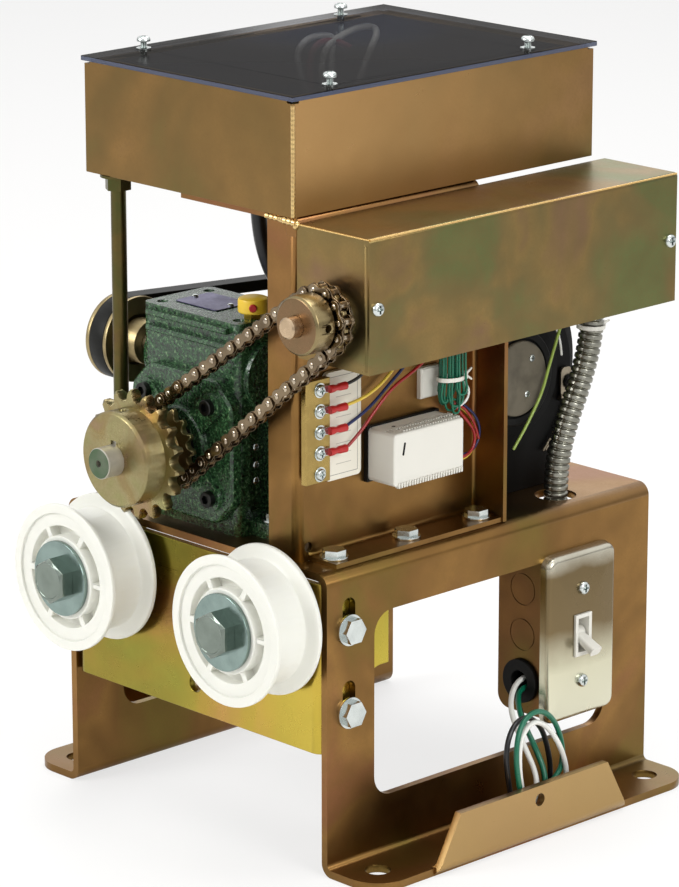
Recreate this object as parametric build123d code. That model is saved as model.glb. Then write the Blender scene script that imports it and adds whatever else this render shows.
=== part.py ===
from build123d import *
from math import asin, atan2, cos, degrees, hypot, pi, radians, sin, sqrt, tan
import os

# Slide gate operator on a folded steel base, in millimetres.
# X runs along the gate face with the switch side at +X, Y runs back, Z is up.
# The origin is on the floor at the middle of the base.

# Base frame
base_width = 232.6
base_depth = 280.0
base_height = 188.0
base_plate = 4.8
base_bend = 3.2
half_width = base_width / 2
half_depth = base_depth / 2
leg_inside = half_width - base_plate
foot_reach = 46.5
ear_reach = 42.5
ear_corner = 22.0
anchor_x_out = 20.5
anchor_spacing = 236.0
anchor_radius = 8.0
lip_height = 36.0
lip_top = 129.0
lip_foot = 168.0
lip_centre_y = -9.5
lip_hole_radius = 4.0
lip_hole_y = -5.5
lip_hole_height = 27.0
window_length = 202.0
window_low = 40.0
window_high = 156.4
window_corner = 14.0
conduit_inset = 23.6
conduit_x = half_width - conduit_inset
conduit_y = 79.5
conduit_hole_radius = 13.0

# Roller plate between the legs
roller_plate_drop = 7.0
roller_plate_height = 106.0
roller_plate_high = base_height - roller_plate_drop
roller_plate_low = roller_plate_high - roller_plate_height
flange_depth = 56.0
flange_foot_depth = 34.0
flange_step_height = 46.0
flange_corner = 16.0
plate_hole_radius = 5.2
plate_hole_rise = 18.0
fit_gap = 0.2
running_gap = 0.05
slot_width = 10.4
slot_length = 27.0
slot_inset = 18.0
slot_y = -half_depth + slot_inset
slot_drop = 30.4
slot_spacing = 51.6
slot_high = base_height - slot_drop
slot_low = slot_high - slot_spacing
frame_bolt_radius = 4.75
frame_bolt_flats = 14.3
frame_bolt_head = 6.4
frame_bolt_flange = 9.6
frame_bolt_flange_height = 1.8
frame_bolt_tail = 6.0
bolt_drop = 6.3

# Support post
post_radius = 4.75
post_inset = 35.8
post_x = -half_width + post_inset
post_setback = 14.0
post_y = -half_depth + post_setback
post_nut_flats = 14.3
post_nut_height = 8.0
post_washer_radius = 11.0
post_washer = 1.6
post_tail = 4.0

# Gate rollers
roller_spacing = 146.0
roller_radius = 46.0
roller_width = 36.0
roller_flange = 6.0
roller_groove_radius = 38.0
roller_recess = 9.0
roller_dish = 1.8
roller_rim = 6.0
roller_hub_radius = 26.0
roller_bore_radius = 9.6
roller_rib = 4.0
roller_ribs = 6
roller_standoff = 6.0
axle_radius = 9.525
axle_flats = 28.6
axle_gap = 1.19
roller_height = base_height - base_plate - post_nut_height - post_tail - axle_gap - axle_flats / sqrt(3)
axle_head = 12.0
hex_bevel = 30.0
axle_washer_radius = 23.5
axle_washer = 3.0
axle_nut = 16.0
axle_tail = 5.0
rear_washer_radius = 20.0

# Tower bracket
tower_plate = 3.0
tower_bend = 2.5
tower_inset = 29.8
tower_x = half_width - tower_inset
tower_front = -135.0
tower_back = 16.0
tower_height = 208.0
tower_top = base_height + tower_height
front_flange = 25.0
back_flange = 28.0
foot_flange = 27.0
top_flange = 100.0
relief_radius = 3.0
tower_bolt_reach = 13.0
tower_bolt_x = tower_x + tower_bolt_reach
tower_bolt_ys = (-118.0, -58.0, 2.0)

# Small flange bolts on the base
base_bolt_radius = 4.0
base_bolt_flats = 12.7
base_bolt_head = 5.5
base_bolt_flange = 8.6
base_bolt_flange_height = 1.6
base_nut_height = 6.5
base_bolt_tail = 3.0

# Control box and its smoked lid
box_inset = 17.8
box_step = 2.0
box_left = -half_width + box_inset
box_right = tower_x - box_step
box_depth = 253.0
box_height = 68.5
box_front = -136.0
box_back = box_front + box_depth
box_top = tower_top + box_height
box_sheet = 1.6
box_rim = 11.0
box_notch = 5.0
lid_thickness = 3.0
lid_overhang = 1.5
lid_screw_inset_x = 10.0
lid_screw_ys = (39.0, 205.0)
pan_radius = 4.2
pan_height = 2.8
pan_shank_radius = 2.1
lid_screw_rise = 5.0
lid_screw_length = 14.0
lid_ring_radius = 4.6
lid_ring = 1.0
board_width = 120.0
board_depth = 180.0
board_thickness = 1.6
board_standoff = 12.0
standoff_radius = 3.5
standoff_inset = 8.0
relay_length = 24.0
relay_width = 16.0
relay_height = 12.0
relay_x = -36.0
relay_y = -28.0
relay_step = 24.0
relay_count = 3
transformer_side = 36.0
transformer_height = 24.0
transformer_x = 30.0
transformer_y = -42.0
capacitor_radius = 12.0
capacitor_height = 24.0
capacitor_x = 24.0
capacitor_y = 36.0

# Limit box, screw and nuts
limit_sheet = 1.6
limit_room = 25.96
limit_rise = 125.6
limit_height = 79.8
limit_low = base_height + limit_rise
limit_high = limit_low + limit_height
limit_back = 124.6
cover_back = 126.4
cover_lip = 10.0
end_flange = 12.0
cover_screw_rise = 38.4
cover_screw_height = limit_low + cover_screw_rise
cover_screw_inset = 6.2
limit_shaft_radius = 6.35
limit_shaft_nose = 28.5
limit_shaft_tail = 9.0
limit_shaft_chamfer = 1.06
limit_bush_radius = 10.0
limit_bush_flange = 15.0
limit_bush_flange_width = 3.0
limit_bush_depth = 6.0
nut_radius = 18.0
nut_width = 9.0
nut_notch = 2.6
nut_notch_depth = 4.0
nut_notches = 12
front_nut_y = -78.0
rear_nut_y = 62.0
guide_width = 2.0
guide_foot = 16.0
guide_gap = 0.3
switch_length = 28.0
switch_height = 16.0
switch_width = 10.3
switch_plunger = 1.6
switch_plunger_rise = 3.0
switch_rail = 1.5
switch_clearance = 0.5
switch_front_y = -44.0
switch_rear_y = 28.0
switch_rail_height = 5.0

# Limit chain and its sprockets
limit_pitch = 9.525
limit_roller = 5.08
drive_teeth = 16
limit_teeth = 12
run_links = 18
chain_angle = 37.0
chain_y = -146.0
chain_plate = 1.25
chain_inner = 4.8
chain_plate_height = 8.6
chain_outer_height = 7.8
chain_pin = 3.58
chain_pin_proud = 0.6
limit_tooth = 4.3
chain_slack = 0.08
chain_end_sides = 3
chain_roller_sides = 8
chain_pin_sides = 6
limit_hub_radius = 17.5
limit_neck_radius = 13.0
chain_clear = 6.4
limit_hub_front = -166.5
drive_hub_radius = 15.0

# Gate sprocket
gate_pitch = 12.7
gate_roller = 7.92
gate_teeth = 18
gate_tooth = 7.2
gate_y = -168.0
gate_hub_radius = 29.3
gate_hub_front = -187.0
tooth_rise = 0.6
seat_share = 1.01
seat_angle = 62.0
tip_share = 0.16
gate_tip_share = 0.07
flank_bulge = 0.06
gate_phase = 4.0
bevel_share = 0.2
bevel_reach = 0.08
gate_bevel_reach = 0.05
hub_chamfer = 1.5
set_screw_radius = 2.4

# Output shaft
output_x = -18.0
output_rise = 52.5
output_z = base_height + output_rise
output_radius = 9.525
output_front = -199.0
output_back = -58.0
key_width = 4.8
key_height = 4.8
centre_hole_radius = 2.2
centre_hole_depth = 6.0

# Gearbox
gear_front = -125.0
gear_back = -70.0
gear_half = 43.0
gear_height = 132.0
gear_top = base_height + gear_height
gear_wall = 6.0
gear_foot = 9.0
gear_foot_spread = 18.0
gear_foot_inset = 10.0
gear_corner = 5.0
gear_waist = 5.0
ledge_reach = 4.5
ledge_thickness = 3.5
ledge_inset = 7.0
ledge_drops = (3.0, 12.5)
cover_half = 45.0
cover_chamfer = 15.0
cover_corner = 9.0
cover_arm_angles = (45.0, 135.0)
cover_thickness = 8.0
cover_step = 3.0
cover_boss_radius = 24.0
cover_boss = 4.0
cover_screw_half = 28.5
cap_radius = 5.0
cap_height = 4.0
cap_shank_radius = 3.0
cap_shank = 14.0
cap_socket_flats = 5.0
cap_boss_radius = 8.0
wheel_radius = 32.0
wheel_width = 20.0
wheel_teeth = 30
wheel_tooth_depth = 4.0
wheel_root_share = 0.35
wheel_tip_share = 0.15
worm_distance = 44.0
worm_radius = 11.6
worm_length = 46.0
worm_shaft_radius = 8.0
bearing_width = 12.0
output_bearing_radius = 20.0
worm_bearing_radius = 17.5
seal_width = 5.0
chamber_gap = 2.0
gear_bolt_half_x = 52.4
gear_bolt_half_y = 12.0
lifting_half_x = 34.0
lifting_half_y = 19.0
lifting_radius = 3.5
lifting_depth = 8.0
breather_x = 18.0
breather_y = -106.0
breather_radius = 9.5
breather_height = 9.0
breather_stem_radius = 6.0
breather_stem = 4.0
breather_pin_radius = 2.6
breather_pin = 2.4

# Belt drive
belt_width = 12.7
belt_height = 8.0
belt_angle = 38.0
belt_gap = 0.3
gear_pulley_radius = 27.0
motor_pulley_radius = 38.0
pulley_x = -106.0
pulley_wall = 3.2
pulley_hub_radius = 14.0
pulley_hub = 12.0
worm_shaft_end = -114.0

# Motor
motor_y = 64.0
motor_rise = 74.0
motor_z = base_height + motor_rise
motor_radius = 66.0
motor_left = -62.0
motor_right = 54.0
motor_wall = 3.0
motor_end_x = 76.0
motor_end_radius = 23.8
motor_nose_x = -80.0
bell_step_radius = 36.0
bell_rim = 5.0
bell_lip_radius = 44.0
seal_radius = 16.0
seal_recess = 1.0
worm_boss = 4.0
pulley_floor = 3.0
end_disc = 2.4
end_disc_recess = 11.5
motor_shaft_radius = 7.94
rotor_radius = 38.0
rotor_air = 14.0
stator_inner = 38.4
cradle_length = 150.0
cradle_width = 88.0
cradle_sheet = 3.0
cradle_height = 6.0
arm_ring = 8.0
ring_rubber = 7.0
cradle_bolt_half_x = 52.0
cradle_bolt_half_y = 36.0

# Wiring box and toggle switch
wiring_y = 73.0
wiring_z = 105.5
wiring_width = 55.0
wiring_height = 102.0
wiring_depth = 34.0
wiring_sheet = 1.6
wiring_corner = 9.0
wiring_hole_inset = 13.5
wiring_hole_x = leg_inside - wiring_hole_inset
knockout_depth = 0.5
knockout_radius = 10.4
knockout_groove = 0.6
knockout_rises = (135.0, 105.5)
grommet_height = 75.5
grommet_flange_radius = 14.0
grommet_radius = 10.6
grommet_hole_radius = 6.8
grommet_width = 7.0
cover_raise = 6.8
cover_flare = 3.6
cover_sheet = 1.4
cover_rounding = 4.0
switch_screw_spacing = 60.33
toggle_body_width = 33.0
toggle_body_height = 52.0
toggle_body_depth = 24.0
toggle_strap = 1.5
toggle_strap_width = 19.0
toggle_bezel = 1.4
toggle_bezel_width = 14.5
toggle_bezel_height = 27.0
lever_angle = 27.0
lever_reach = 19.0
lever_root_radius = 4.2
lever_root_width = 7.6
lever_tip_width = 8.6
lever_tip_height = 6.4
lever_gap = 0.4
lever_set_back = 5.0

# Cords, each a radius and the points of its route
conduit_radius = 7.6
conduit_points = (
    (92.7, 79.5, 160.0),
    (92.7, 79.5, 190.0),
    (92.9, 81.0, 212.0),
    (93.5, 88.0, 234.0),
    (94.5, 98.0, 256.0),
    (95.0, 106.0, 279.0),
    (95.0, 109.0, 302.0),
    (95.0, 109.2, 313.2),
)
sleeve_radius = 5.0
sleeve_points = (
    (-31.0, -58.0, 395.0),
    (-29.0, -58.5, 372.0),
    (-25.0, -58.0, 347.0),
    (-18.0, -52.0, 324.0),
    (-9.0, -34.0, 304.0),
    (-2.0, -13.0, 292.0),
    (1.0, -0.5, 287.0),
)
pigtail_radius = 1.7
cord_bend_share = 0.45
white_points = (
    (98.5, 55.0, 78.2),
    (98.5, 42.0, 77.5),
    (106.0, 27.0, 71.0),
    (118.0, 16.0, 63.0),
    (134.0, 10.5, 50.0),
    (145.0, 11.0, 33.0),
    (148.5, 5.5, 19.0),
    (151.0, -4.5, 18.0),
    (153.0, -11.0, 30.0),
    (153.0, -14.5, 50.0),
    (151.5, -11.0, 67.0),
    (149.0, 3.0, 73.0),
    (147.0, 19.0, 63.0),
    (146.5, 31.0, 46.0),
    (147.0, 36.0, 28.0),
    (146.0, 35.0, 12.0),
)
green_points = (
    (100.8, 55.0, 72.4),
    (100.8, 41.0, 72.0),
    (108.0, 31.5, 68.5),
    (120.0, 22.0, 61.5),
    (137.0, 16.5, 50.0),
    (146.5, 17.0, 33.0),
    (149.0, 13.0, 18.0),
    (153.5, 1.0, 9.5),
    (155.5, -10.0, 17.0),
    (155.5, -16.5, 36.0),
    (154.5, -19.0, 58.0),
    (152.0, -12.0, 75.0),
    (150.0, 4.0, 79.5),
    (147.5, 20.0, 71.0),
    (144.0, 32.0, 55.0),
    (142.0, 37.0, 39.0),
    (144.5, 31.0, 30.0),
    (148.0, 18.0, 27.0),
)
black_points = (
    (95.2, 55.0, 72.6),
    (95.2, 42.0, 71.6),
    (104.0, 35.5, 66.0),
    (117.0, 27.5, 57.5),
    (132.0, 22.0, 45.5),
    (141.5, 22.5, 29.5),
    (144.0, 15.0, 13.0),
    (145.5, 1.0, 8.5),
    (147.0, -12.0, 17.0),
    (148.5, -18.5, 37.0),
    (148.5, -21.5, 58.0),
    (147.0, -14.0, 72.5),
    (144.5, 1.0, 75.0),
    (142.0, 16.5, 64.0),
    (139.5, 26.0, 46.0),
    (139.0, 29.5, 28.0),
    (139.5, 28.0, 12.0),
)
lead_radius = 1.0
red_points = (
    (95.5, -102.8, 255.6),
    (96.5, -94.0, 262.0),
    (98.0, -82.5, 274.5),
    (98.5, -69.0, 286.0),
    (98.5, -51.0, 292.5),
    (98.5, -38.0, 299.5),
    (98.5, -33.0, 313.0),
)
yellow_points = (
    (95.5, -103.2, 281.0),
    (97.0, -93.5, 282.5),
    (98.0, -81.0, 287.5),
    (97.0, -68.5, 294.5),
    (96.0, -59.0, 303.0),
    (95.5, -56.0, 313.0),
)
blue_points = (
    (95.0, -103.2, 268.2),
    (95.0, -94.0, 271.4),
    (94.0, -80.5, 277.0),
    (93.0, -66.5, 286.0),
    (93.0, -53.5, 294.5),
    (93.0, -46.5, 304.0),
    (93.5, -44.5, 313.0),
)
black_lead_points = (
    (95.5, -103.2, 293.8),
    (97.0, -96.0, 295.5),
    (98.0, -89.0, 301.5),
    (98.0, -86.5, 313.0),
)
receiver_lead_points = (
    (99.5, -21.0, 232.5),
    (99.5, -9.0, 230.5),
    (98.5, 0.5, 235.0),
    (97.5, 2.5, 244.5),
    (96.5, -3.5, 252.5),
    (96.0, -9.0, 258.0),
    (96.2, -12.5, 262.6),
)
ground_radius = 1.3
ground_points = (
    (79.0, 55.5, 219.0),
    (79.5, 64.0, 229.0),
    (79.5, 72.5, 240.0),
    (79.5, 80.5, 251.5),
    (79.5, 86.0, 266.0),
    (80.5, 91.0, 281.0),
    (83.0, 94.0, 295.0),
    (88.5, 93.5, 305.0),
    (90.5, 92.5, 313.0),
)
hank_radius = 5.5
hank_points = (
    (97.0, -14.5, 313.0),
    (97.0, -16.0, 298.0),
    (97.5, -17.0, 283.0),
    (97.5, -15.5, 264.0),
)

# Terminal board and receiver on the tower
board_left = -133.0
board_right = -84.0
terminal_rise = 41.0
terminal_height = 75.0
terminal_low = base_height + terminal_rise
terminal_high = terminal_low + terminal_height
terminal_thickness = 2.4
strip_width = 19.0
strip_rise = 7.0
strip_low = terminal_low + strip_rise
strip_thickness = 4.4
terminal_count = 5
strip_end = 6.0
terminal_first = strip_low + strip_end
terminal_step = 12.75
terminal_head_radius = 3.6
terminal_head = 2.2
lug_length = 16.0
lug_radius = 2.3
lug_tongue = 0.9
lug_gap = 0.3
lug_rise = 9.0
lug_x = tower_x + lug_rise
terminal_shank_radius = 2.0
board_corner = 3.0
receiver_left = -80.0
receiver_right = -21.5
receiver_rise = 40.5
receiver_height = 32.5
receiver_low = base_height + receiver_rise
receiver_high = receiver_low + receiver_height
receiver_depth = 22.0
receiver_base = 3.0
receiver_corner = 2.5
receiver_fin_step = 2.4
receiver_fin_depth = 0.8
receiver_fin_share = 0.75
mount_side = 19.0
mount_y = -27.0
mount_rise = 92.0
mount_z = base_height + mount_rise
mount_height = 4.0


def block(x0, x1, y0, y1, z0, z1):
    """Box between two corners."""
    return Pos(x0, y0, z0) * Box(x1 - x0, y1 - y0, z1 - z0, align=(Align.MIN, Align.MIN, Align.MIN))


def rod_x(x0, x1, y, z, radius):
    """Round bar along X."""
    bar = Cylinder(radius, x1 - x0, align=(Align.CENTER, Align.CENTER, Align.MIN))
    return Pos(x0, y, z) * Rot(0, 90, 0) * bar


def rod_y(x, y0, y1, z, radius):
    """Round bar along Y."""
    bar = Cylinder(radius, y1 - y0, align=(Align.CENTER, Align.CENTER, Align.MIN))
    return Pos(x, y0, z) * Rot(-90, 0, 0) * bar


def rod_z(x, y, z0, z1, radius):
    """Round bar along Z."""
    return Pos(x, y, z0) * Cylinder(radius, z1 - z0, align=(Align.CENTER, Align.CENTER, Align.MIN))


def along_x(sketch, x0, x1):
    """Sketch drawn in Y and Z, pushed along X."""
    return extrude(Plane.YZ.offset(x0) * sketch, amount=x1 - x0)


def along_y(sketch, y0, y1):
    """Sketch drawn in X and Z, pushed along Y."""
    return extrude(Plane.XZ.offset(-y1) * sketch, amount=y1 - y0)


def along_z(sketch, z0, z1):
    """Sketch drawn in X and Y, pushed up Z."""
    return extrude(Plane.XY.offset(z0) * sketch, amount=z1 - z0)


def hexagon(flats):
    """Regular hexagon across its flats."""
    return RegularPolygon(flats / 2, 6, major_radius=False, rotation=30)


def folded(points, sheet, inside):
    """Section of a folded sheet along the middle of its thickness."""
    return trace(FilletPolyline(*points, radius=inside + sheet / 2), line_width=sheet)


def flange_bolt(radius, flats, head, flange, flange_height, shank):
    """Hex flange bolt standing on its washer face, shank down."""
    bolt = rod_z(0, 0, 0, flange_height, flange)
    bolt += along_z(hexagon(flats), flange_height, head)
    return bolt + rod_z(0, 0, -shank, 0, radius)


def hex_nut(flats, height, radius):
    """Hex nut standing on Z zero."""
    return along_z(hexagon(flats), 0, height) - rod_z(0, 0, 0, height, radius + running_gap)


def pan_screw(shank):
    """Pan head screw, head up from Z zero."""
    head = rod_z(0, 0, 0, pan_height, pan_radius)
    head = fillet(head.edges().group_by(Axis.Z)[-1], pan_height / 2)
    return head + rod_z(0, 0, -shank, 0, pan_shank_radius)


def gear_bolt_places():
    """Four bolts through the gearbox foot."""
    middle = (gear_front + gear_foot_inset + gear_back) / 2
    return [
        (output_x + side * gear_bolt_half_x, middle + end * gear_bolt_half_y)
        for side in (-1, 1)
        for end in (-1, 1)
    ]


def cradle_bolt_places():
    """Four bolts through the motor cradle."""
    middle = (motor_left + motor_right) / 2
    return [
        (middle + side * cradle_bolt_half_x, motor_y + end * cradle_bolt_half_y)
        for side in (-1, 1)
        for end in (-1, 1)
    ]


def base_frame():
    """Inverted U of plate with outward feet and a bent up lip on each foot."""
    mid = base_plate / 2
    leg = half_width - mid
    toe = half_width + ear_reach
    frame = along_y(
        folded(
            [
                (-toe, mid),
                (-leg, mid),
                (-leg, base_height - mid),
                (leg, base_height - mid),
                (leg, mid),
                (toe, mid),
            ],
            base_plate,
            base_bend,
        ),
        -half_depth,
        half_depth,
    )
    plan = Rectangle(2 * toe, base_depth)
    plan = fillet(plan.vertices(), ear_corner)
    kept = along_z(plan, 0, base_plate)
    kept += block(
        -half_width - base_bend, half_width + base_bend, -half_depth, half_depth, 0, base_height
    )
    frame = frame & kept
    frame = frame + foot_lip() + mirror(foot_lip(), Plane.YZ)
    frame -= along_x(window_outline(0), -half_width, half_width)
    for height in (slot_low, slot_high):
        slot = Pos(slot_y, height) * SlotOverall(slot_length, slot_width, rotation=90)
        frame -= along_x(slot, -half_width, half_width)
    for side in (-1, 1):
        for end in (-1, 1):
            x = side * (half_width + anchor_x_out)
            frame -= rod_z(x, end * anchor_spacing / 2, 0, base_plate, anchor_radius)
    return frame - top_holes()


def window_outline(gap):
    """Rounded window of the legs, made smaller all round by a gap."""
    return Pos(0, (window_low + window_high) / 2) * RectangleRounded(
        window_length - 2 * gap, window_high - window_low - 2 * gap, window_corner - gap
    )


def foot_lip():
    """Bent up lip between the ears of the right foot."""
    mid = base_plate / 2
    outer = half_width + foot_reach - mid
    section = folded(
        [(half_width + ear_corner, mid), (outer, mid), (outer, lip_height)], base_plate, base_bend
    )
    outline = make_face(
        Polyline(
            (-lip_foot / 2, 0),
            (lip_foot / 2, 0),
            (lip_top / 2, lip_height),
            (-lip_top / 2, lip_height),
            close=True,
        )
    )
    lip = along_y(section, lip_centre_y - lip_foot / 2, lip_centre_y + lip_foot / 2)
    lip = lip & along_x(Pos(lip_centre_y, 0) * outline, half_width, half_width + foot_reach)
    return lip - rod_x(outer - base_plate, outer + base_plate, lip_hole_y, lip_hole_height, lip_hole_radius)


def top_holes():
    """Everything that passes through the top of the base."""
    low = base_height - base_plate
    holes = rod_z(conduit_x, conduit_y, low, base_height, conduit_hole_radius)
    holes += rod_z(post_x, post_y, low, base_height, post_radius + fit_gap)
    places = [(tower_bolt_x, y) for y in tower_bolt_ys] + gear_bolt_places() + cradle_bolt_places()
    for x, y in places:
        holes += rod_z(x, y, low, base_height, base_bolt_radius + fit_gap)
    return holes


def roller_plate():
    """Channel that carries the rollers, bolted between the legs."""
    mid = base_plate / 2
    side = leg_inside - fit_gap - mid
    front = -half_depth + mid
    back = -half_depth + flange_depth
    plate = along_z(
        folded([(-side, back), (-side, front), (side, front), (side, back)], base_plate, base_bend),
        roller_plate_low,
        roller_plate_high,
    )
    step_back = -half_depth + flange_foot_depth
    notch = Pos((step_back + back) / 2, roller_plate_low + flange_step_height / 2) * Rectangle(
        back - step_back, flange_step_height
    )
    corner = notch.vertices().sort_by_distance((step_back, roller_plate_low + flange_step_height, 0))[0]
    plate -= along_x(fillet(corner, flange_corner), -half_width, half_width)
    for x in (-roller_spacing / 2, roller_spacing / 2):
        plate -= rod_y(x, -half_depth, front + mid, roller_height, axle_radius + fit_gap)
    plate -= rod_y(0, -half_depth, front + mid, roller_plate_low + plate_hole_rise, plate_hole_radius)
    for height in (slot_low - bolt_drop, slot_high - bolt_drop):
        plate -= rod_x(-half_width, half_width, slot_y, height, frame_bolt_radius + fit_gap)
    return plate


def frame_bolts():
    """Flange bolts and nuts: roller plate, tower, gearbox and motor cradle."""
    pieces = []
    grip = 2 * base_plate + fit_gap
    shank = grip + base_nut_height + frame_bolt_tail
    bolt = flange_bolt(
        frame_bolt_radius,
        frame_bolt_flats,
        frame_bolt_head,
        frame_bolt_flange,
        frame_bolt_flange_height,
        shank,
    )
    nut = hex_nut(frame_bolt_flats, base_nut_height, frame_bolt_radius)
    for height in (slot_low - bolt_drop, slot_high - bolt_drop):
        pieces.append(Pos(half_width, slot_y, height) * Rot(0, 90, 0) * bolt)
        pieces.append(Pos(-half_width, slot_y, height) * Rot(0, -90, 0) * bolt)
        pieces.append(Pos(half_width - grip, slot_y, height) * Rot(0, -90, 0) * nut)
        pieces.append(Pos(grip - half_width, slot_y, height) * Rot(0, 90, 0) * nut)
    seats = [(tower_bolt_x, y, tower_plate) for y in tower_bolt_ys]
    seats += [(x, y, gear_foot) for x, y in gear_bolt_places()]
    seats += [(x, y, cradle_sheet) for x, y in cradle_bolt_places()]
    small_nut = hex_nut(base_bolt_flats, base_nut_height, base_bolt_radius)
    for x, y, sheet in seats:
        shank = sheet + base_plate + base_nut_height + base_bolt_tail
        bolt = flange_bolt(
            base_bolt_radius,
            base_bolt_flats,
            base_bolt_head,
            base_bolt_flange,
            base_bolt_flange_height,
            shank,
        )
        pieces.append(Pos(x, y, base_height + sheet) * bolt)
        pieces.append(Pos(x, y, base_height - base_plate - base_nut_height) * small_nut)
    return pieces


roller_back = -half_depth - roller_standoff
roller_front = roller_back - roller_width


def guide_roller(x):
    """Flanged nylon roller with a ribbed recess in each face."""
    dish = roller_dish
    inner = roller_groove_radius - roller_rim
    half = [
        (roller_bore_radius, 0),
        (roller_hub_radius, 0),
        (roller_hub_radius, roller_recess),
        (inner, roller_recess),
        (inner, dish),
        (roller_radius - roller_rim, dish),
        (roller_radius - roller_rim, 0),
        (roller_radius, 0),
        (roller_radius, roller_flange / 2),
        (roller_groove_radius, roller_flange),
    ]
    outline = half + [(r, roller_width - y) for r, y in reversed(half)]
    wheel = revolve(make_face(Polyline(*outline, close=True)), Axis.Y)
    for k in range(roller_ribs):
        arm = block(
            roller_hub_radius - fit_gap,
            inner + fit_gap,
            dish,
            roller_width - dish,
            -roller_rib / 2,
            roller_rib / 2,
        )
        wheel += Rot(0, 360 * k / roller_ribs, 0) * arm
    return Pos(x, roller_front, roller_height) * wheel


def bevelled_hex(flats, height):
    """Hex head standing on Z zero with its far corners bevelled."""
    corner = flats / sqrt(3)
    reach = corner - flats / 2
    rise = reach * tan(radians(hex_bevel))
    outline = Polyline(
        (0, 0), (corner, 0), (corner, height - rise), (flats / 2, height), (0, height), close=True
    )
    blank = Rot(90, 0, 0) * revolve(make_face(outline), Axis.Y)
    return along_z(hexagon(flats), 0, height) & blank


def roller_bolts():
    """Hex bolts that the rollers turn on."""
    bolts = []
    shank_end = -half_depth + base_plate + axle_washer + axle_nut + axle_tail
    head_face = roller_front - axle_washer
    for x in (-roller_spacing / 2, roller_spacing / 2):
        bolt = rod_y(x, head_face, shank_end, roller_height, axle_radius)
        head = Pos(x, head_face, roller_height) * Rot(90, 0, 0) * bevelled_hex(axle_flats, axle_head)
        bolts.append(bolt + head)
    return bolts


def roller_washers():
    """Front washers, stand-off rings, rear washers and nuts."""
    rings = []
    back = -half_depth + base_plate
    head_face = roller_front - axle_washer
    for x in (-roller_spacing / 2, roller_spacing / 2):
        hole = rod_y(x, head_face, back + axle_washer, roller_height, axle_radius + running_gap)
        rings.append(
            rod_y(x, head_face, roller_front - fit_gap, roller_height, axle_washer_radius) - hole
        )
        rings.append(
            rod_y(x, roller_back + fit_gap, -half_depth, roller_height, rear_washer_radius) - hole
        )
        rings.append(rod_y(x, back, back + axle_washer, roller_height, rear_washer_radius) - hole)
        nut = hex_nut(axle_flats, axle_nut, axle_radius)
        rings.append(Pos(x, back + axle_washer, roller_height) * Rot(-90, 0, 0) * nut)
    return rings


def tower_bracket():
    """Folded plate that stands on the base and carries both boxes."""
    mid = tower_plate / 2
    wall = tower_x - mid
    front = tower_front + mid
    back = tower_back - mid
    bend = tower_plate + tower_bend + relief_radius
    post = along_z(
        folded(
            [
                (tower_x - front_flange, front),
                (wall, front),
                (wall, back),
                (tower_x - tower_plate + back_flange, back),
            ],
            tower_plate,
            tower_bend,
        ),
        base_height,
        tower_top - tower_plate,
    )
    post -= block(
        tower_x - bend, tower_x, tower_front + bend, tower_back - bend, base_height, base_height + bend
    )
    post -= block(
        tower_x - bend, tower_x, tower_front, tower_back, tower_top - bend, tower_top
    )
    foot = along_y(
        folded(
            [
                (wall, base_height + bend),
                (wall, base_height + mid),
                (tower_x - tower_plate + foot_flange, base_height + mid),
            ],
            tower_plate,
            tower_bend,
        ),
        tower_front + bend,
        tower_back - bend,
    )
    toe = block(
        tower_x + tower_bend,
        tower_x - tower_plate + foot_flange,
        tower_front + bend,
        tower_back - tower_plate,
        base_height,
        base_height + tower_plate,
    )
    head = along_y(
        folded(
            [(wall, tower_top - bend), (wall, tower_top - mid), (tower_x - top_flange, tower_top - mid)],
            tower_plate,
            tower_bend,
        ),
        tower_front,
        tower_back,
    )
    bracket = post + foot + toe + head
    bracket -= rod_x(tower_x - bend, tower_x, tower_front + bend, base_height + bend, relief_radius)
    bracket -= block(
        tower_x, tower_x + back_flange, tower_back - bend, tower_back, limit_low - fit_gap, tower_top
    )
    for y in tower_bolt_ys:
        bracket -= rod_z(tower_bolt_x, y, base_height, base_height + tower_plate, base_bolt_radius + fit_gap)
    return bracket


def lid_screw_places():
    """Four lid screws in the rim of the control box."""
    return [
        (x, box_front + y)
        for x in (box_left + lid_screw_inset_x, box_right - lid_screw_inset_x)
        for y in lid_screw_ys
    ]


def control_box():
    """Open sheet box with a turned in rim."""
    box = block(box_left, box_right, box_front, box_back, tower_top, box_top)
    box -= block(
        box_left + box_sheet,
        box_right - box_sheet,
        box_front + box_sheet,
        box_back - box_sheet,
        tower_top + box_sheet,
        box_top - box_sheet,
    )
    inset = box_sheet + box_rim
    box -= block(
        box_left + inset, box_right - inset, box_front + inset, box_back - inset, box_top - box_sheet, box_top
    )
    for x in (box_left, box_right - box_notch):
        for y in (box_front, box_back - box_notch):
            box -= block(x, x + box_notch, y, y + box_notch, box_top - box_sheet, box_top)
    for x, y in lid_screw_places():
        box -= rod_z(x, y, box_top - box_sheet, box_top, pan_shank_radius + fit_gap)
    return box - rod_z(post_x, post_y, tower_top, tower_top + box_sheet, post_radius + fit_gap)


def box_lid():
    """Flat smoked sheet over the control box."""
    lid = block(
        box_left - lid_overhang,
        box_right + lid_overhang,
        box_front - lid_overhang,
        box_back + lid_overhang,
        box_top,
        box_top + lid_thickness,
    )
    for x, y in lid_screw_places():
        lid -= rod_z(x, y, box_top, box_top + lid_thickness, pan_shank_radius + fit_gap)
    return lid


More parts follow.
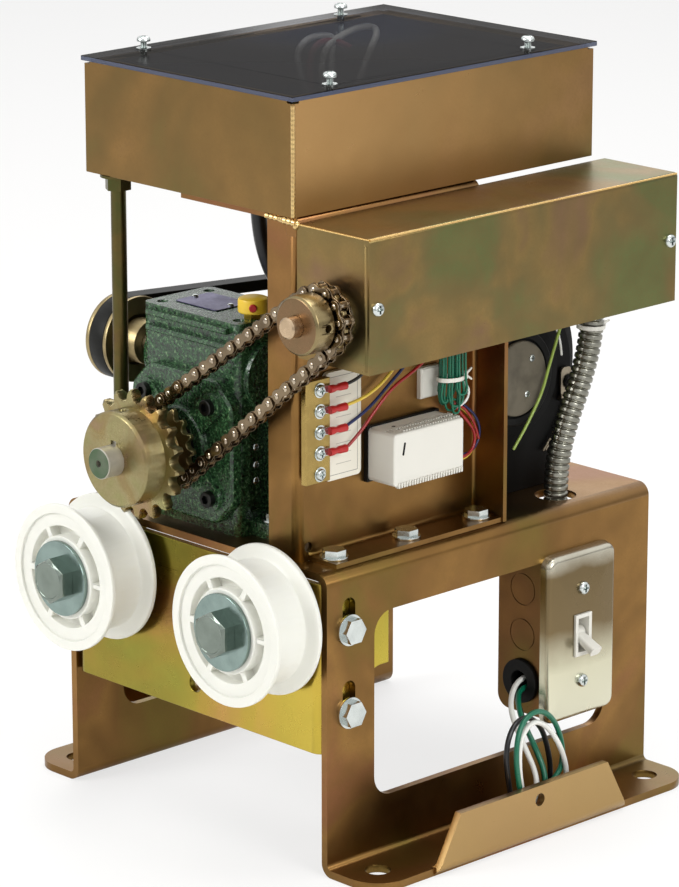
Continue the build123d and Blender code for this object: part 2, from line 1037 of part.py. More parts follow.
def machine_screws():
    """Screws of the lid, the limit cover, the switch cover and the gearbox cover."""
    pieces = cap_screws()
    top = box_top + lid_thickness
    for x, y in lid_screw_places():
        pieces.append(Pos(x, y, top + lid_screw_rise) * pan_screw(lid_screw_rise + lid_screw_length))
        ring = rod_z(x, y, top, top + lid_ring, lid_ring_radius)
        pieces.append(ring - rod_z(x, y, top, top + lid_ring, pan_shank_radius + running_gap))
    face = limit_face + limit_sheet
    for y in (tower_front + cover_screw_inset, cover_back - cover_screw_inset):
        pieces.append(Pos(face, y, cover_screw_height) * Rot(0, 90, 0) * pan_screw(end_flange / 2))
    for z in switch_screw_heights():
        pieces.append(Pos(half_width + cover_raise, wiring_y, z) * Rot(0, 90, 0) * pan_screw(cover_raise))
    return pieces


def switch_screw_heights():
    """Two screws of the switch cover."""
    return (wiring_z - switch_screw_spacing / 2, wiring_z + switch_screw_spacing / 2)


def control_board():
    """Circuit board on standoffs with its relays, transformer and capacitor."""
    x = (box_left + box_right) / 2
    y = (box_front + box_back) / 2
    floor = tower_top + box_sheet
    level = floor + board_standoff
    top = level + board_thickness
    board = Pos(x, y, level) * Box(
        board_width, board_depth, board_thickness, align=(Align.CENTER, Align.CENTER, Align.MIN)
    )
    pieces = [board]
    for side in (-1, 1):
        for end in (-1, 1):
            px = x + side * (board_width / 2 - standoff_inset)
            py = y + end * (board_depth / 2 - standoff_inset)
            pieces.append(rod_z(px, py, floor, level, standoff_radius))
    base = (Align.CENTER, Align.CENTER, Align.MIN)
    for k in range(relay_count):
        relay = Box(relay_length, relay_width, relay_height, align=base)
        pieces.append(Pos(x + relay_x, y + relay_y + k * relay_step, top) * relay)
    transformer = Box(transformer_side, transformer_side, transformer_height, align=base)
    pieces.append(Pos(x + transformer_x, y + transformer_y, top) * transformer)
    pieces.append(rod_z(x + capacitor_x, y + capacitor_y, top, top + capacitor_height, capacitor_radius))
    return pieces


def support_post():
    """Threaded rod with nuts that holds up the free corner of the control box."""
    low = base_height - base_plate
    seat = tower_top + box_sheet
    tail = post_nut_height + post_tail
    rod = rod_z(post_x, post_y, low - tail, seat + tail, post_radius)
    nut = hex_nut(post_nut_flats, post_nut_height, post_radius)
    pieces = [rod]
    levels = (low - post_nut_height, base_height, tower_top - post_washer - post_nut_height, seat)
    for level in levels:
        pieces.append(Pos(post_x, post_y, level) * nut)
    low = tower_top - post_washer
    washer = rod_z(post_x, post_y, low, tower_top, post_washer_radius)
    pieces.append(washer - rod_z(post_x, post_y, low, tower_top, post_radius + running_gap))
    return pieces


def pitch_radius(pitch, teeth):
    """Radius of the roller centres round a sprocket."""
    return pitch / (2 * sin(pi / teeth))


drive_pitch_radius = pitch_radius(limit_pitch, drive_teeth)
limit_pitch_radius = pitch_radius(limit_pitch, limit_teeth)
centre_distance = sqrt((run_links * limit_pitch) ** 2 - (drive_pitch_radius - limit_pitch_radius) ** 2)
limit_x = output_x + centre_distance * cos(radians(chain_angle))
limit_z = output_z + centre_distance * sin(radians(chain_angle))
limit_face = limit_x + limit_room


def limit_box():
    """Back wall and floor in one fold with a flanged plate at each end."""
    mid = limit_sheet / 2
    top = limit_high - 2 * limit_sheet
    box = along_y(
        folded(
            [(tower_x + mid, top), (tower_x + mid, limit_low + mid), (limit_face, limit_low + mid)],
            limit_sheet,
            limit_sheet / 2,
        ),
        tower_front,
        limit_back,
    )
    for y, turn in ((tower_front + mid, 1), (limit_back - mid, -1)):
        section = folded(
            [(tower_x + mid, y), (limit_face - mid, y), (limit_face - mid, y + turn * end_flange)],
            limit_sheet,
            limit_sheet / 2,
        )
        box += along_z(section, limit_low + mid, top)
    hole = pan_shank_radius + running_gap
    for y in (tower_front + cover_screw_inset, cover_back - cover_screw_inset):
        box -= rod_x(limit_face - limit_sheet, limit_face, y, cover_screw_height, hole)
    return box - rod_y(limit_x, tower_front, limit_back, limit_z, limit_bush_radius)


def limit_cover():
    """Lift-off cover: top, face and a turned in edge at the far end."""
    mid = limit_sheet / 2
    outer = limit_face + mid
    cover = along_y(
        folded(
            [(tower_x, limit_high - mid), (outer, limit_high - mid), (outer, limit_low)],
            limit_sheet,
            limit_sheet / 2,
        ),
        tower_front,
        cover_back,
    )
    cover += block(
        limit_face - cover_lip,
        limit_face + mid,
        cover_back - limit_sheet,
        cover_back,
        limit_low,
        limit_high - mid,
    )
    hole = pan_shank_radius + running_gap
    for y in (tower_front + cover_screw_inset, cover_back - cover_screw_inset):
        cover -= rod_x(limit_face, limit_face + limit_sheet, y, cover_screw_height, hole)
    return cover


def limit_bearings():
    """Flanged bush in each end plate."""
    bushes = []
    for face, out in ((tower_front, -1), (limit_back, 1)):
        flange_end = face + out * limit_bush_flange_width
        barrel_end = face - out * limit_bush_depth
        bush = rod_y(limit_x, min(face, flange_end), max(face, flange_end), limit_z, limit_bush_flange)
        bush += rod_y(limit_x, min(face, barrel_end), max(face, barrel_end), limit_z, limit_bush_radius)
        low = min(flange_end, barrel_end)
        high = max(flange_end, barrel_end)
        bushes.append(bush - rod_y(limit_x, low, high, limit_z, limit_shaft_radius + running_gap))
    return bushes


def limit_shaft():
    """Screw that carries the two limit nuts."""
    front = chain_y - limit_shaft_nose
    back = limit_back + limit_shaft_tail
    shaft = rod_y(limit_x, front, back, limit_z, limit_shaft_radius)
    return chamfer(shaft.edges().filter_by(GeomType.CIRCLE), limit_shaft_chamfer)


def limit_nut(y):
    """Notched nut that travels on the limit screw."""
    wheel = rod_y(limit_x, y - nut_width / 2, y + nut_width / 2, limit_z, nut_radius)
    for k in range(nut_notches):
        notch = Pos(nut_radius, 0) * Rectangle(2 * nut_notch_depth, nut_notch)
        cut = along_y(Rot(0, 0, 90 + 360 * k / nut_notches) * notch, y - nut_width / 2, y + nut_width / 2)
        wheel -= Pos(limit_x, 0, limit_z) * cut
    return wheel - rod_y(limit_x, y - nut_width, y + nut_width, limit_z, limit_shaft_radius + running_gap)


def nut_guide():
    """Strip that stands in one notch of each nut, and the switch shelf."""
    floor = limit_low + limit_sheet
    low = tower_front + limit_sheet + guide_gap
    high = limit_back - limit_sheet - guide_gap
    crest = limit_z - nut_radius + nut_notch_depth - guide_gap
    strip = block(limit_x - guide_width / 2, limit_x + guide_width / 2, low, high, floor, crest)
    strip += block(limit_x, limit_x + guide_foot, low, high, floor, floor + guide_width)
    wall = tower_x + limit_sheet
    level = switch_bottom + switch_height
    shelf = folded(
        [
            (wall + switch_rail / 2, level + switch_rail_height),
            (wall + switch_rail / 2, level + switch_rail / 2),
            (limit_x + switch_width, level + switch_rail / 2),
        ],
        switch_rail,
        switch_rail / 2,
    )
    shelf = along_y(shelf, switch_front_y - switch_length, switch_rear_y + switch_length)
    return [strip, shelf]


switch_bottom = limit_z + nut_radius + switch_clearance + switch_plunger_rise


def limit_switches():
    """Two snap switches hung under the shelf, plungers over the nuts."""
    switches = []
    for y, side in ((switch_front_y, -1), (switch_rear_y, 1)):
        body = block(
            limit_x - switch_width / 2,
            limit_x + switch_width / 2,
            y - switch_length / 2,
            y + switch_length / 2,
            switch_bottom,
            switch_bottom + switch_height,
        )
        plunger_y = y + side * switch_length / 3
        body += rod_z(limit_x, plunger_y, switch_bottom - switch_plunger_rise, switch_bottom, switch_plunger)
        switches.append(body)
    return switches


def sprocket_face(pitch, roller, teeth, phase, land):
    """Toothed outline with one gap at the phase angle, in degrees, and a land on each tooth."""
    centre = pitch_radius(pitch, teeth)
    seat = seat_share * roller / 2
    tip = pitch * (tooth_rise + 1 / tan(pi / teeth)) / 2
    half = 180 / teeth

    def polar(radius, angle):
        return (radius * cos(radians(angle)), radius * sin(radians(angle)))

    edges = []
    for k in range(teeth):
        angle = phase + 2 * half * k
        x, y = polar(centre, angle)

        def on_seat(turn):
            dx, dy = polar(seat, angle + 180 + turn)
            return (x + dx, y + dy)

        before = polar(tip, angle - half * (1 - land))
        after = polar(tip, angle + half * (1 - land))
        following = polar(tip, angle + half * (1 + land))
        down = on_seat(seat_angle)
        up = on_seat(-seat_angle)
        edges.append(ThreePointArc(before, bulged(before, down, (x, y)), down))
        edges.append(ThreePointArc(down, on_seat(0), up))
        edges.append(ThreePointArc(up, bulged(up, after, (x, y)), after))
        edges.append(Line(after, following))
    return make_face(edges)


def bulged(start, end, towards):
    """Middle of a line moved a share of its length towards a point."""
    mx = (start[0] + end[0]) / 2
    my = (start[1] + end[1]) / 2
    length = hypot(end[0] - start[0], end[1] - start[1])
    dx = towards[0] - mx
    dy = towards[1] - my
    reach = hypot(dx, dy)
    return (mx + flank_bulge * length * dx / reach, my + flank_bulge * length * dy / reach)


def sprocket_disc(x, z, y, face, width, tip, reach):
    """Toothed disc with bevelled sides."""
    disc = Pos(x, 0, z) * along_y(face, y - width / 2, y + width / 2)
    blank = rod_y(x, y - width / 2, y + width / 2, z, tip)
    blank = chamfer(blank.edges().filter_by(GeomType.CIRCLE), width * bevel_share, tip * reach)
    return disc & blank


def drive_sprocket():
    """Gate chain sprocket with its front hub."""
    tip = gate_pitch * (tooth_rise + 1 / tan(pi / gate_teeth)) / 2
    face = sprocket_face(gate_pitch, gate_roller, gate_teeth, gate_phase, gate_tip_share)
    wheel = sprocket_disc(output_x, output_z, gate_y, face, gate_tooth, tip, gate_bevel_reach)
    hub = rod_y(output_x, gate_hub_front, gate_y, output_z, gate_hub_radius)
    hub = chamfer(hub.edges().group_by(Axis.Y)[0], hub_chamfer)
    wheel += hub
    wheel -= rod_y(output_x, gate_hub_front, gate_y + gate_tooth, output_z, output_radius + running_gap)
    wheel -= key_slot(gate_hub_front - key_height, gate_y + gate_tooth)
    screw_y = (gate_hub_front + gate_y - gate_tooth / 2) / 2
    return wheel - rod_z(output_x, screw_y, output_z, output_z + gate_hub_radius, set_screw_radius)


def key_slot(y0, y1):
    """Slot for the key on top of the output shaft."""
    low = output_z + output_radius - key_height / 2
    return block(output_x - key_width / 2, output_x + key_width / 2, y0, y1, low, low + key_height)


def limit_drive_sprocket():
    """Small sprocket behind the gate sprocket that turns the limit chain."""
    tip = limit_pitch * (tooth_rise + 1 / tan(pi / drive_teeth)) / 2
    face = sprocket_face(limit_pitch, limit_roller, drive_teeth, chain_angle + 90, tip_share)
    wheel = sprocket_disc(output_x, output_z, chain_y, face, limit_tooth, tip, bevel_reach)
    wheel += rod_y(output_x, gate_y + gate_tooth / 2 + fit_gap, chain_y, output_z, drive_hub_radius)
    wheel -= rod_y(output_x, gate_y, chain_y + limit_tooth, output_z, output_radius + running_gap)
    return wheel - key_slot(gate_y, chain_y + limit_tooth)


def limit_sprocket():
    """Sprocket on the limit screw with its long hub."""
    tip = limit_pitch * (tooth_rise + 1 / tan(pi / limit_teeth)) / 2
    face = sprocket_face(limit_pitch, limit_roller, limit_teeth, chain_angle - 90, tip_share)
    wheel = sprocket_disc(limit_x, limit_z, chain_y, face, limit_tooth, tip, bevel_reach)
    wheel += rod_y(limit_x, limit_hub_front, chain_y, limit_z, limit_neck_radius)
    hub = rod_y(limit_x, limit_hub_front, chain_y - chain_clear, limit_z, limit_hub_radius)
    wheel += chamfer(hub.edges().group_by(Axis.Y)[0], hub_chamfer)
    wheel -= rod_y(limit_x, limit_hub_front, chain_y + limit_tooth, limit_z, limit_shaft_radius + running_gap)
    screw_y = (limit_hub_front + chain_y - limit_tooth / 2) / 2
    return wheel - rod_x(limit_x, limit_x + limit_hub_radius, screw_y, limit_z, set_screw_radius)


def chain_joints():
    """Roller centres of the closed limit chain in X and Z."""
    points = []

    def arc(x, z, radius, start, teeth):
        for k in range(teeth // 2 + 1):
            angle = radians(start + 360 * k / teeth)
            points.append((x + radius * cos(angle), z + radius * sin(angle)))

    def run(start, end):
        for k in range(1, run_links):
            share = k / run_links
            points.append((start[0] + (end[0] - start[0]) * share, start[1] + (end[1] - start[1]) * share))

    arc(output_x, output_z, drive_pitch_radius, chain_angle + 90, drive_teeth)
    first = points[0]
    low = radians(chain_angle - 90)
    run(points[-1], (limit_x + limit_pitch_radius * cos(low), limit_z + limit_pitch_radius * sin(low)))
    arc(limit_x, limit_z, limit_pitch_radius, chain_angle - 90, limit_teeth)
    run(points[-1], first)
    return points


def chain_plate_face(height):
    """Outline of one chain plate with faceted round ends."""
    ends = []
    for centre, start in ((limit_pitch / 2, -90), (-limit_pitch / 2, 90)):
        for k in range(chain_end_sides + 1):
            angle = radians(start + 180 * k / chain_end_sides)
            ends.append((centre + height / 2 * cos(angle), height / 2 * sin(angle)))
    return make_face(Polyline(*ends, close=True))


def facet_rod(x, y0, y1, radius, sides):
    """Short faceted bar along Y."""
    return along_y(Pos(x, 0) * RegularPolygon(radius, sides), y0, y1)


def inner_link():
    """Two inner plates with their bushed rollers."""
    reach = chain_inner / 2
    link = None
    for side in (-1, 1):
        near = side * reach
        far = side * (reach + chain_plate)
        plate = along_y(chain_plate_face(chain_plate_height), min(near, far), max(near, far))
        link = plate if link is None else link + plate
    hole = chain_pin / 2 + running_gap
    for x in (-limit_pitch / 2, limit_pitch / 2):
        link += facet_rod(x, -reach, reach, limit_roller / 2, chain_roller_sides)
        link -= facet_rod(x, -reach - chain_plate, reach + chain_plate, hole, chain_pin_sides)
    return link


def outer_link():
    """Two outer plates with their riveted pins."""
    near = chain_inner / 2 + chain_plate + chain_slack
    far = near + chain_plate
    link = along_y(chain_plate_face(chain_outer_height), -far, -near)
    link += along_y(chain_plate_face(chain_outer_height), near, far)
    for x in (-limit_pitch / 2, limit_pitch / 2):
        link += facet_rod(x, -far - chain_pin_proud, far + chain_pin_proud, chain_pin / 2, chain_pin_sides)
    return link


def limit_chain():
    """Roller chain laid link by link over both sprockets."""
    joints = chain_joints()
    kinds = (outer_link(), inner_link())
    links = []
    for k, start in enumerate(joints):
        end = joints[(k + 1) % len(joints)]
        angle = degrees(atan2(end[1] - start[1], end[0] - start[0]))
        middle = Pos((start[0] + end[0]) / 2, chain_y, (start[1] + end[1]) / 2)
        links.append(middle * Rot(0, -angle, 0) * kinds[k % 2])
    return links


gear_left = output_x - gear_half
gear_right = output_x + gear_half
wheel_y = (gear_front + gear_back) / 2
worm_z = output_z + worm_distance
wheel_half = wheel_width / 2
chamber_radius = wheel_radius + chamber_gap
front_bearing_end = gear_front + bearing_width
rear_bearing_start = gear_back - seal_width - bearing_width
worm_left = gear_left + seal_width + bearing_width
worm_right = gear_right - seal_width - bearing_width


def output_shaft():
    """Keyed output shaft with a centre hole, and the key in its slot."""
    shaft = rod_y(output_x, output_front, output_back, output_z, output_radius)
    shaft = chamfer(shaft.edges().filter_by(GeomType.CIRCLE), hub_chamfer / 2)
    shaft -= rod_y(output_x, output_front, output_front + centre_hole_depth, output_z, centre_hole_radius)
    key_start = gate_hub_front + hub_chamfer
    key_end = chain_y + limit_tooth / 2
    shaft -= key_slot(key_start, key_end)
    key = key_slot(key_start, key_end)
    return [shaft, key]


def gearbox_housing():
    """Cast housing with a wheel chamber, a worm chamber, ribs and feet."""
    low = base_height
    body = block(gear_left, gear_right, gear_front, gear_back, low, gear_top)
    upright = [e for e in body.edges().filter_by(Axis.Z)]
    body = fillet(upright, gear_corner)
    foot = block(
        gear_left - gear_foot_spread,
        gear_right + gear_foot_spread,
        gear_front + gear_foot_inset,
        gear_back,
        low,
        low + gear_foot,
    )
    body += fillet(foot.edges().filter_by(Axis.Z), gear_corner)
    for side, x in ((-1, gear_left), (1, gear_right)):
        waist_low = low + gear_foot + gear_waist
        waist_high = worm_z - worm_bearing_radius - gear_wall - gear_waist
        inner = x - side * gear_waist
        cut = block(
            min(x, inner), max(x, inner), gear_front + gear_foot, gear_back - gear_foot, waist_low, waist_high
        )
        body -= cut
        rib = block(
            min(x, inner),
            max(x, inner),
            wheel_y - gear_waist / 2,
            wheel_y + gear_waist / 2,
            waist_low,
            waist_high,
        )
        body += rib
    boss_radius = worm_bearing_radius + gear_wall
    body += rod_x(gear_left - worm_boss, gear_right + worm_boss, wheel_y, worm_z, boss_radius)
    for drop in ledge_drops:
        ledge = block(
            gear_left + ledge_inset,
            gear_right - ledge_inset,
            gear_front - ledge_reach,
            gear_front,
            gear_top - drop - ledge_thickness,
            gear_top - drop,
        )
        body += chamfer(ledge.edges().group_by(Axis.Y)[0], ledge_thickness / 4)
    body -= rod_y(output_x, gear_front, rear_bearing_start, output_z, chamber_radius)
    body -= rod_y(output_x, rear_bearing_start, gear_back, output_z, output_bearing_radius)
    body -= rod_x(worm_left, worm_right, wheel_y, worm_z, worm_radius + chamber_gap)
    body -= rod_x(gear_left - worm_boss, worm_left, wheel_y, worm_z, worm_bearing_radius)
    body -= rod_x(worm_right, gear_right - seal_width, wheel_y, worm_z, worm_bearing_radius)
    for x in (-lifting_half_x, lifting_half_x):
        for y in (-lifting_half_y, lifting_half_y):
            body -= rod_z(output_x + x, wheel_y + y, gear_top - lifting_depth, gear_top, lifting_radius)
    for x, y in gear_bolt_places():
        body -= rod_z(x, y, low, low + gear_foot, base_bolt_radius + fit_gap)
    for x, z in cover_screw_places():
        body -= rod_y(x, gear_front, gear_front + cap_shank, z, cap_shank_radius)
    return body


def cover_screw_places():
    """Four cap screws round the output shaft."""
    return [
        (output_x + side * cover_screw_half, output_z + rise * cover_screw_half)
        for side in (-1, 1)
        for rise in (-1, 1)
    ]


def gearbox_cover():
    """Front cover: chamfered square plate, boss and bearing spigot."""
    plate = Rectangle(2 * cover_half, 2 * cover_half)
    plate = chamfer(plate.vertices(), cover_chamfer)
    plate = fillet(plate.vertices(), cover_corner)
    place = Pos(output_x, 0, output_z)
    cover = place * along_y(plate, gear_front - cover_thickness, gear_front)
    face = gear_front - cover_thickness
    cover = chamfer(cover.edges().group_by(Axis.Y)[0], hub_chamfer)
    arm = SlotCenterToCenter(2 * sqrt(2) * cover_screw_half, 2 * cap_boss_radius)
    for turn in cover_arm_angles:
        cover += place * along_y(Rot(0, 0, turn) * arm, face - cover_step, face)
    boss = rod_y(output_x, face - cover_boss, face, output_z, cover_boss_radius)
    cover += chamfer(boss.edges().group_by(Axis.Y)[0], hub_chamfer)
    cover += rod_y(output_x, gear_front, front_bearing_end, output_z, chamber_radius - running_gap)
    cover -= rod_y(output_x, gear_front, front_bearing_end, output_z, output_bearing_radius)
    cover -= rod_y(output_x, face - cover_boss, gear_front, output_z, seal_radius)
    for x, z in cover_screw_places():
        cover -= rod_y(x, face - cover_step, front_bearing_end, z, cap_shank_radius)
    return cover


def cap_screws():
    """Socket cap screws of the gearbox cover."""
    screws = []
    face = gear_front - cover_thickness - cover_step
    for x, z in cover_screw_places():
        screw = rod_y(x, face - cap_height, face, z, cap_radius)
        screw += rod_y(x, face, gear_front + cap_shank, z, cap_shank_radius)
        screw -= Pos(x, 0, z) * along_y(hexagon(cap_socket_flats), face - cap_height, face - cap_height / 3)
        screws.append(screw)
    return screws


def worm_wheel():
    """Bronze wheel with its toothed rim and hub."""
    points = []
    for k in range(wheel_teeth):
        step = 360 / wheel_teeth
        for share, radius in (
            (-wheel_root_share, wheel_radius - wheel_tooth_depth),
            (-wheel_tip_share, wheel_radius),
            (wheel_tip_share, wheel_radius),
            (wheel_root_share, wheel_radius - wheel_tooth_depth),
        ):
            angle = radians(step * (k + share))
            points.append((radius * cos(angle), radius * sin(angle)))
    face = make_face(Polyline(*points, close=True))
    wheel = Pos(output_x, 0, output_z) * along_y(face, wheel_y - wheel_half, wheel_y + wheel_half)
    return wheel - rod_y(output_x, wheel_y - wheel_half, wheel_y + wheel_half, output_z, output_radius)


def worm_shaft():
    """Worm shaft from the belt pulley to its far bearing."""
    shaft = rod_x(worm_shaft_end, gear_right - seal_width - fit_gap, wheel_y, worm_z, worm_shaft_radius)
    worm = rod_x(output_x - worm_length / 2, output_x + worm_length / 2, wheel_y, worm_z, worm_radius)
    return shaft + chamfer(worm.edges().filter_by(GeomType.CIRCLE), worm_radius - worm_shaft_radius)


def ring_x(x0, x1, y, z, outer, inner):
    """Plain ring along X."""
    return rod_x(x0, x1, y, z, outer) - rod_x(x0, x1, y, z, inner)


def ring_y(x, y0, y1, z, outer, inner):
    """Plain ring along Y."""
    return rod_y(x, y0, y1, z, outer) - rod_y(x, y0, y1, z, inner)


def gearbox_bearings():
    """Two output bearings and two worm bearings."""
    output_bore = output_radius + running_gap
    worm_bore = worm_shaft_radius + running_gap
    return [
        ring_y(output_x, gear_front, front_bearing_end, output_z, output_bearing_radius, output_bore),
        ring_y(
            output_x,
            rear_bearing_start,
            rear_bearing_start + bearing_width,
            output_z,
            output_bearing_radius,
            output_bore,
        ),
        ring_x(worm_left - bearing_width, worm_left, wheel_y, worm_z, worm_bearing_radius, worm_bore),
        ring_x(worm_right, worm_right + bearing_width, wheel_y, worm_z, worm_bearing_radius, worm_bore),
    ]


def oil_seals():
    """Seals round both ends of the output shaft and round the worm shaft."""
    face = gear_front - cover_thickness - cover_boss + seal_recess
    output_bore = output_radius + running_gap
    return [
        ring_y(output_x, face, face + seal_width, output_z, seal_radius, output_bore),
        ring_y(output_x, gear_back - seal_width, gear_back, output_z, output_bearing_radius, output_bore),
        ring_x(
            gear_left - worm_boss,
            gear_left + seal_width,
            wheel_y,
            worm_z,
            worm_bearing_radius,
            worm_shaft_radius + running_gap,
        ),
    ]


def breather():
    """Filler plug with a round cap and a small vent pin."""
    stem_top = gear_top + breather_stem
    plug = rod_z(breather_x, breather_y, gear_top, stem_top, breather_stem_radius)
    cap = rod_z(breather_x, breather_y, stem_top, stem_top + breather_height, breather_radius)
    cap = fillet(cap.edges().group_by(Axis.Z)[-1], breather_height / 4)
    middle = stem_top + breather_height / 2
    edge = breather_x + breather_radius
    pin = rod_x(edge - breather_pin, edge + breather_pin, breather_y, middle, breather_pin_radius)
    return plug + cap + pin


belt_flank = tan(radians(belt_angle / 2))


def belt_section(depth):
    """Trapezoid of the belt, outer side at Y zero."""
    top = belt_width / 2
    foot = top - depth * belt_flank
    return make_face(Polyline((-top, 0), (top, 0), (foot, -depth), (-foot, -depth), close=True))


def grooved_pulley(y, z, radius, bore, hub_far):
    """Single groove pulley with a web and a hub towards the machine."""
    half = belt_width / 2 + pulley_wall
    rim = radius - belt_height - pulley_floor
    groove_foot = belt_width / 2 - (belt_height + belt_gap) * belt_flank
    bottom = radius - belt_height - belt_gap
    web = half / 3
    profile = [
        (-half, radius),
        (-half, rim),
        (-web, rim),
        (-web, pulley_hub_radius),
        (-half, pulley_hub_radius),
        (-half, bore),
        (hub_far, bore),
        (hub_far, pulley_hub_radius),
        (web, pulley_hub_radius),
        (web, rim),
        (half, rim),
        (half, radius),
        (belt_width / 2 + belt_gap / 2, radius),
        (groove_foot, bottom),
        (-groove_foot, bottom),
        (-belt_width / 2 - belt_gap / 2, radius),
    ]
    wheel = revolve(make_face(Polyline(*profile, close=True)), Axis.X)
    return Pos(pulley_x, y, z) * wheel


def gearbox_pulley():
    """Small pulley on the worm shaft."""
    half = belt_width / 2 + pulley_wall
    return grooved_pulley(wheel_y, worm_z, gear_pulley_radius, worm_shaft_radius, half + pulley_hub)


def motor_pulley():
    """Pulley on the motor shaft."""
    half = belt_width / 2 + pulley_wall
    return grooved_pulley(motor_y, motor_z, motor_pulley_radius, motor_shaft_radius, half)


def drive_belt():
    """V belt round both pulleys."""
    dy = motor_y - wheel_y
    dz = motor_z - worm_z
    line = atan2(dz, dy)
    lean = asin((motor_pulley_radius - gear_pulley_radius) / hypot(dy, dz))

    def at(cy, cz, radius, angle):
        return (cy + radius * cos(angle), cz + radius * sin(angle))

    up = line + pi / 2 + lean
    down = line - pi / 2 - lean
    upper_start = at(wheel_y, worm_z, gear_pulley_radius, up)
    upper_end = at(motor_y, motor_z, motor_pulley_radius, up)
    lower_start = at(motor_y, motor_z, motor_pulley_radius, down)
    lower_end = at(wheel_y, worm_z, gear_pulley_radius, down)
    path = [
        Line(upper_start, upper_end),
        ThreePointArc(upper_end, at(motor_y, motor_z, motor_pulley_radius, line), lower_start),
        Line(lower_start, lower_end),
        ThreePointArc(lower_end, at(wheel_y, worm_z, gear_pulley_radius, line + pi), upper_start),
    ]
    route = Plane.YZ.offset(pulley_x) * Wire(path)
    start = route @ 0
    outward = Vector(0, cos(up), sin(up))
    across = Plane(origin=start, x_dir=(1, 0, 0), z_dir=Vector(1, 0, 0).cross(outward))
    return sweep(across * belt_section(belt_height), path=route, transition=Transition.RIGHT)


def along_motor(profile):
    """Profile of X and radius turned round the motor axis."""
    return Pos(0, motor_y, motor_z) * revolve(make_face(Polyline(*profile, close=True)), Axis.X)


def motor_shell():
    """Rolled steel shell with the stator core inside."""
    inner = motor_radius - motor_wall
    core_left = motor_left + rotor_air
    core_right = motor_right - rotor_air
    return along_motor(
        [
            (motor_left, motor_radius),
            (motor_right, motor_radius),
            (motor_right, inner),
            (core_right, inner),
            (core_right, stator_inner),
            (core_left, stator_inner),
            (core_left, inner),
            (motor_left, inner),
        ]
    )


def end_bell(start, face, out, bore):
    """Cast end bell profile from the shell out to its hub face."""
    slope = start + out * bell_rim
    step = face - out * end_disc_recess
    wall = motor_wall + bell_rim / 2
    return along_motor(
        [
            (start, motor_radius - motor_wall),
            (start, motor_radius),
            (slope, motor_radius),
            (step, bell_lip_radius),
            (step, bell_step_radius),
            (face, bell_step_radius),
            (face, bore),
            (start + out * bell_rim, bore),
            (start + out * bell_rim, bell_step_radius - wall),
            (step - out * wall, bell_lip_radius - wall),
            (start + out * bell_rim / 2, motor_radius - motor_wall),
        ]
    )


def motor_end_bells():
    """End bells, and the round plate screwed over the far one."""
    bore = motor_shaft_radius + running_gap
    pieces = [
        end_bell(motor_right, motor_end_x - end_disc, 1, bore),
        end_bell(motor_left, motor_nose_x, -1, bore),
    ]
    plate = rod_x(motor_end_x - end_disc, motor_end_x, motor_y, motor_z, motor_end_radius)
    pieces.append(chamfer(plate.edges().group_by(Axis.X)[-1], end_disc / 4))
    return pieces


def motor_rotor():
    """Rotor core on its shaft."""
    core_left = motor_left + rotor_air
    core_right = motor_right - rotor_air
    end = motor_end_x - end_disc - fit_gap
    shaft = rod_x(pulley_x - pulley_hub, end, motor_y, motor_z, motor_shaft_radius)
    return shaft + rod_x(core_left, core_right, motor_y, motor_z, rotor_radius)


def motor_cradle():
    """Cradle base with an arm and rubber ring at each end of the motor."""
    ring_radius = bell_step_radius + ring_rubber
    middle = (motor_left + motor_right) / 2
    left = middle - cradle_length / 2
    right = middle + cradle_length / 2
    low = base_height
    cradle = block(
        left, right, motor_y - cradle_width / 2, motor_y + cradle_width / 2, low, low + cradle_sheet
    )
    for x, y in cradle_bolt_places():
        cradle -= rod_z(x, y, low, low + cradle_sheet, base_bolt_radius + fit_gap)
    outline = Polyline(
        (motor_y - cradle_width / 2, low),
        (motor_y + cradle_width / 2, low),
        (motor_y + cradle_width / 2, low + cradle_height),
        (motor_y + ring_radius + arm_ring, motor_z),
        (motor_y - ring_radius - arm_ring, motor_z),
        (motor_y - cradle_width / 2, low + cradle_height),
        close=True,
    )
    pieces = []
    for x in (left, right - cradle_sheet):
        arm = along_x(make_face(outline), x, x + cradle_sheet)
        arm += rod_x(x, x + cradle_sheet, motor_y, motor_z, ring_radius + arm_ring)
        cradle += arm - rod_x(x, x + cradle_sheet, motor_y, motor_z, ring_radius)
        pieces.append(ring_x(x, x + cradle_sheet, motor_y, motor_z, ring_radius, bell_step_radius))
    return pieces + [cradle]


wiring_front = wiring_y - wiring_width / 2
wiring_back = wiring_y + wiring_width / 2
wiring_low = wiring_z - wiring_height / 2
wiring_high = wiring_z + wiring_height / 2
cover_face = half_width + cover_raise


def switch_box():
    """Switch box that reaches through the leg window, knockouts on its near side."""
    back = leg_inside - wiring_depth
    outer = block(back, half_width, wiring_front, wiring_back, wiring_low, wiring_high)
    outer = fillet(outer.edges().filter_by(Axis.Y).group_by(Axis.X)[0], wiring_corner)
    sheet = wiring_sheet
    inner = block(
        back + sheet,
        half_width,
        wiring_front + sheet,
        wiring_back - sheet,
        wiring_low + sheet,
        wiring_high - sheet,
    )
    inner = fillet(inner.edges().filter_by(Axis.Y).group_by(Axis.X)[0], wiring_corner - sheet)
    allowed = block(back, leg_inside, wiring_front, wiring_back, wiring_low, wiring_high)
    allowed += along_x(window_outline(fit_gap), leg_inside, half_width)
    box = (outer - inner) & allowed
    x = wiring_hole_x
    disc = knockout_radius - knockout_groove
    for z in knockout_rises:
        box -= ring_y(x, wiring_front, wiring_front + knockout_depth, z, knockout_radius, disc)
    return box - rod_y(x, wiring_front, wiring_front + sheet, grommet_height, grommet_radius)


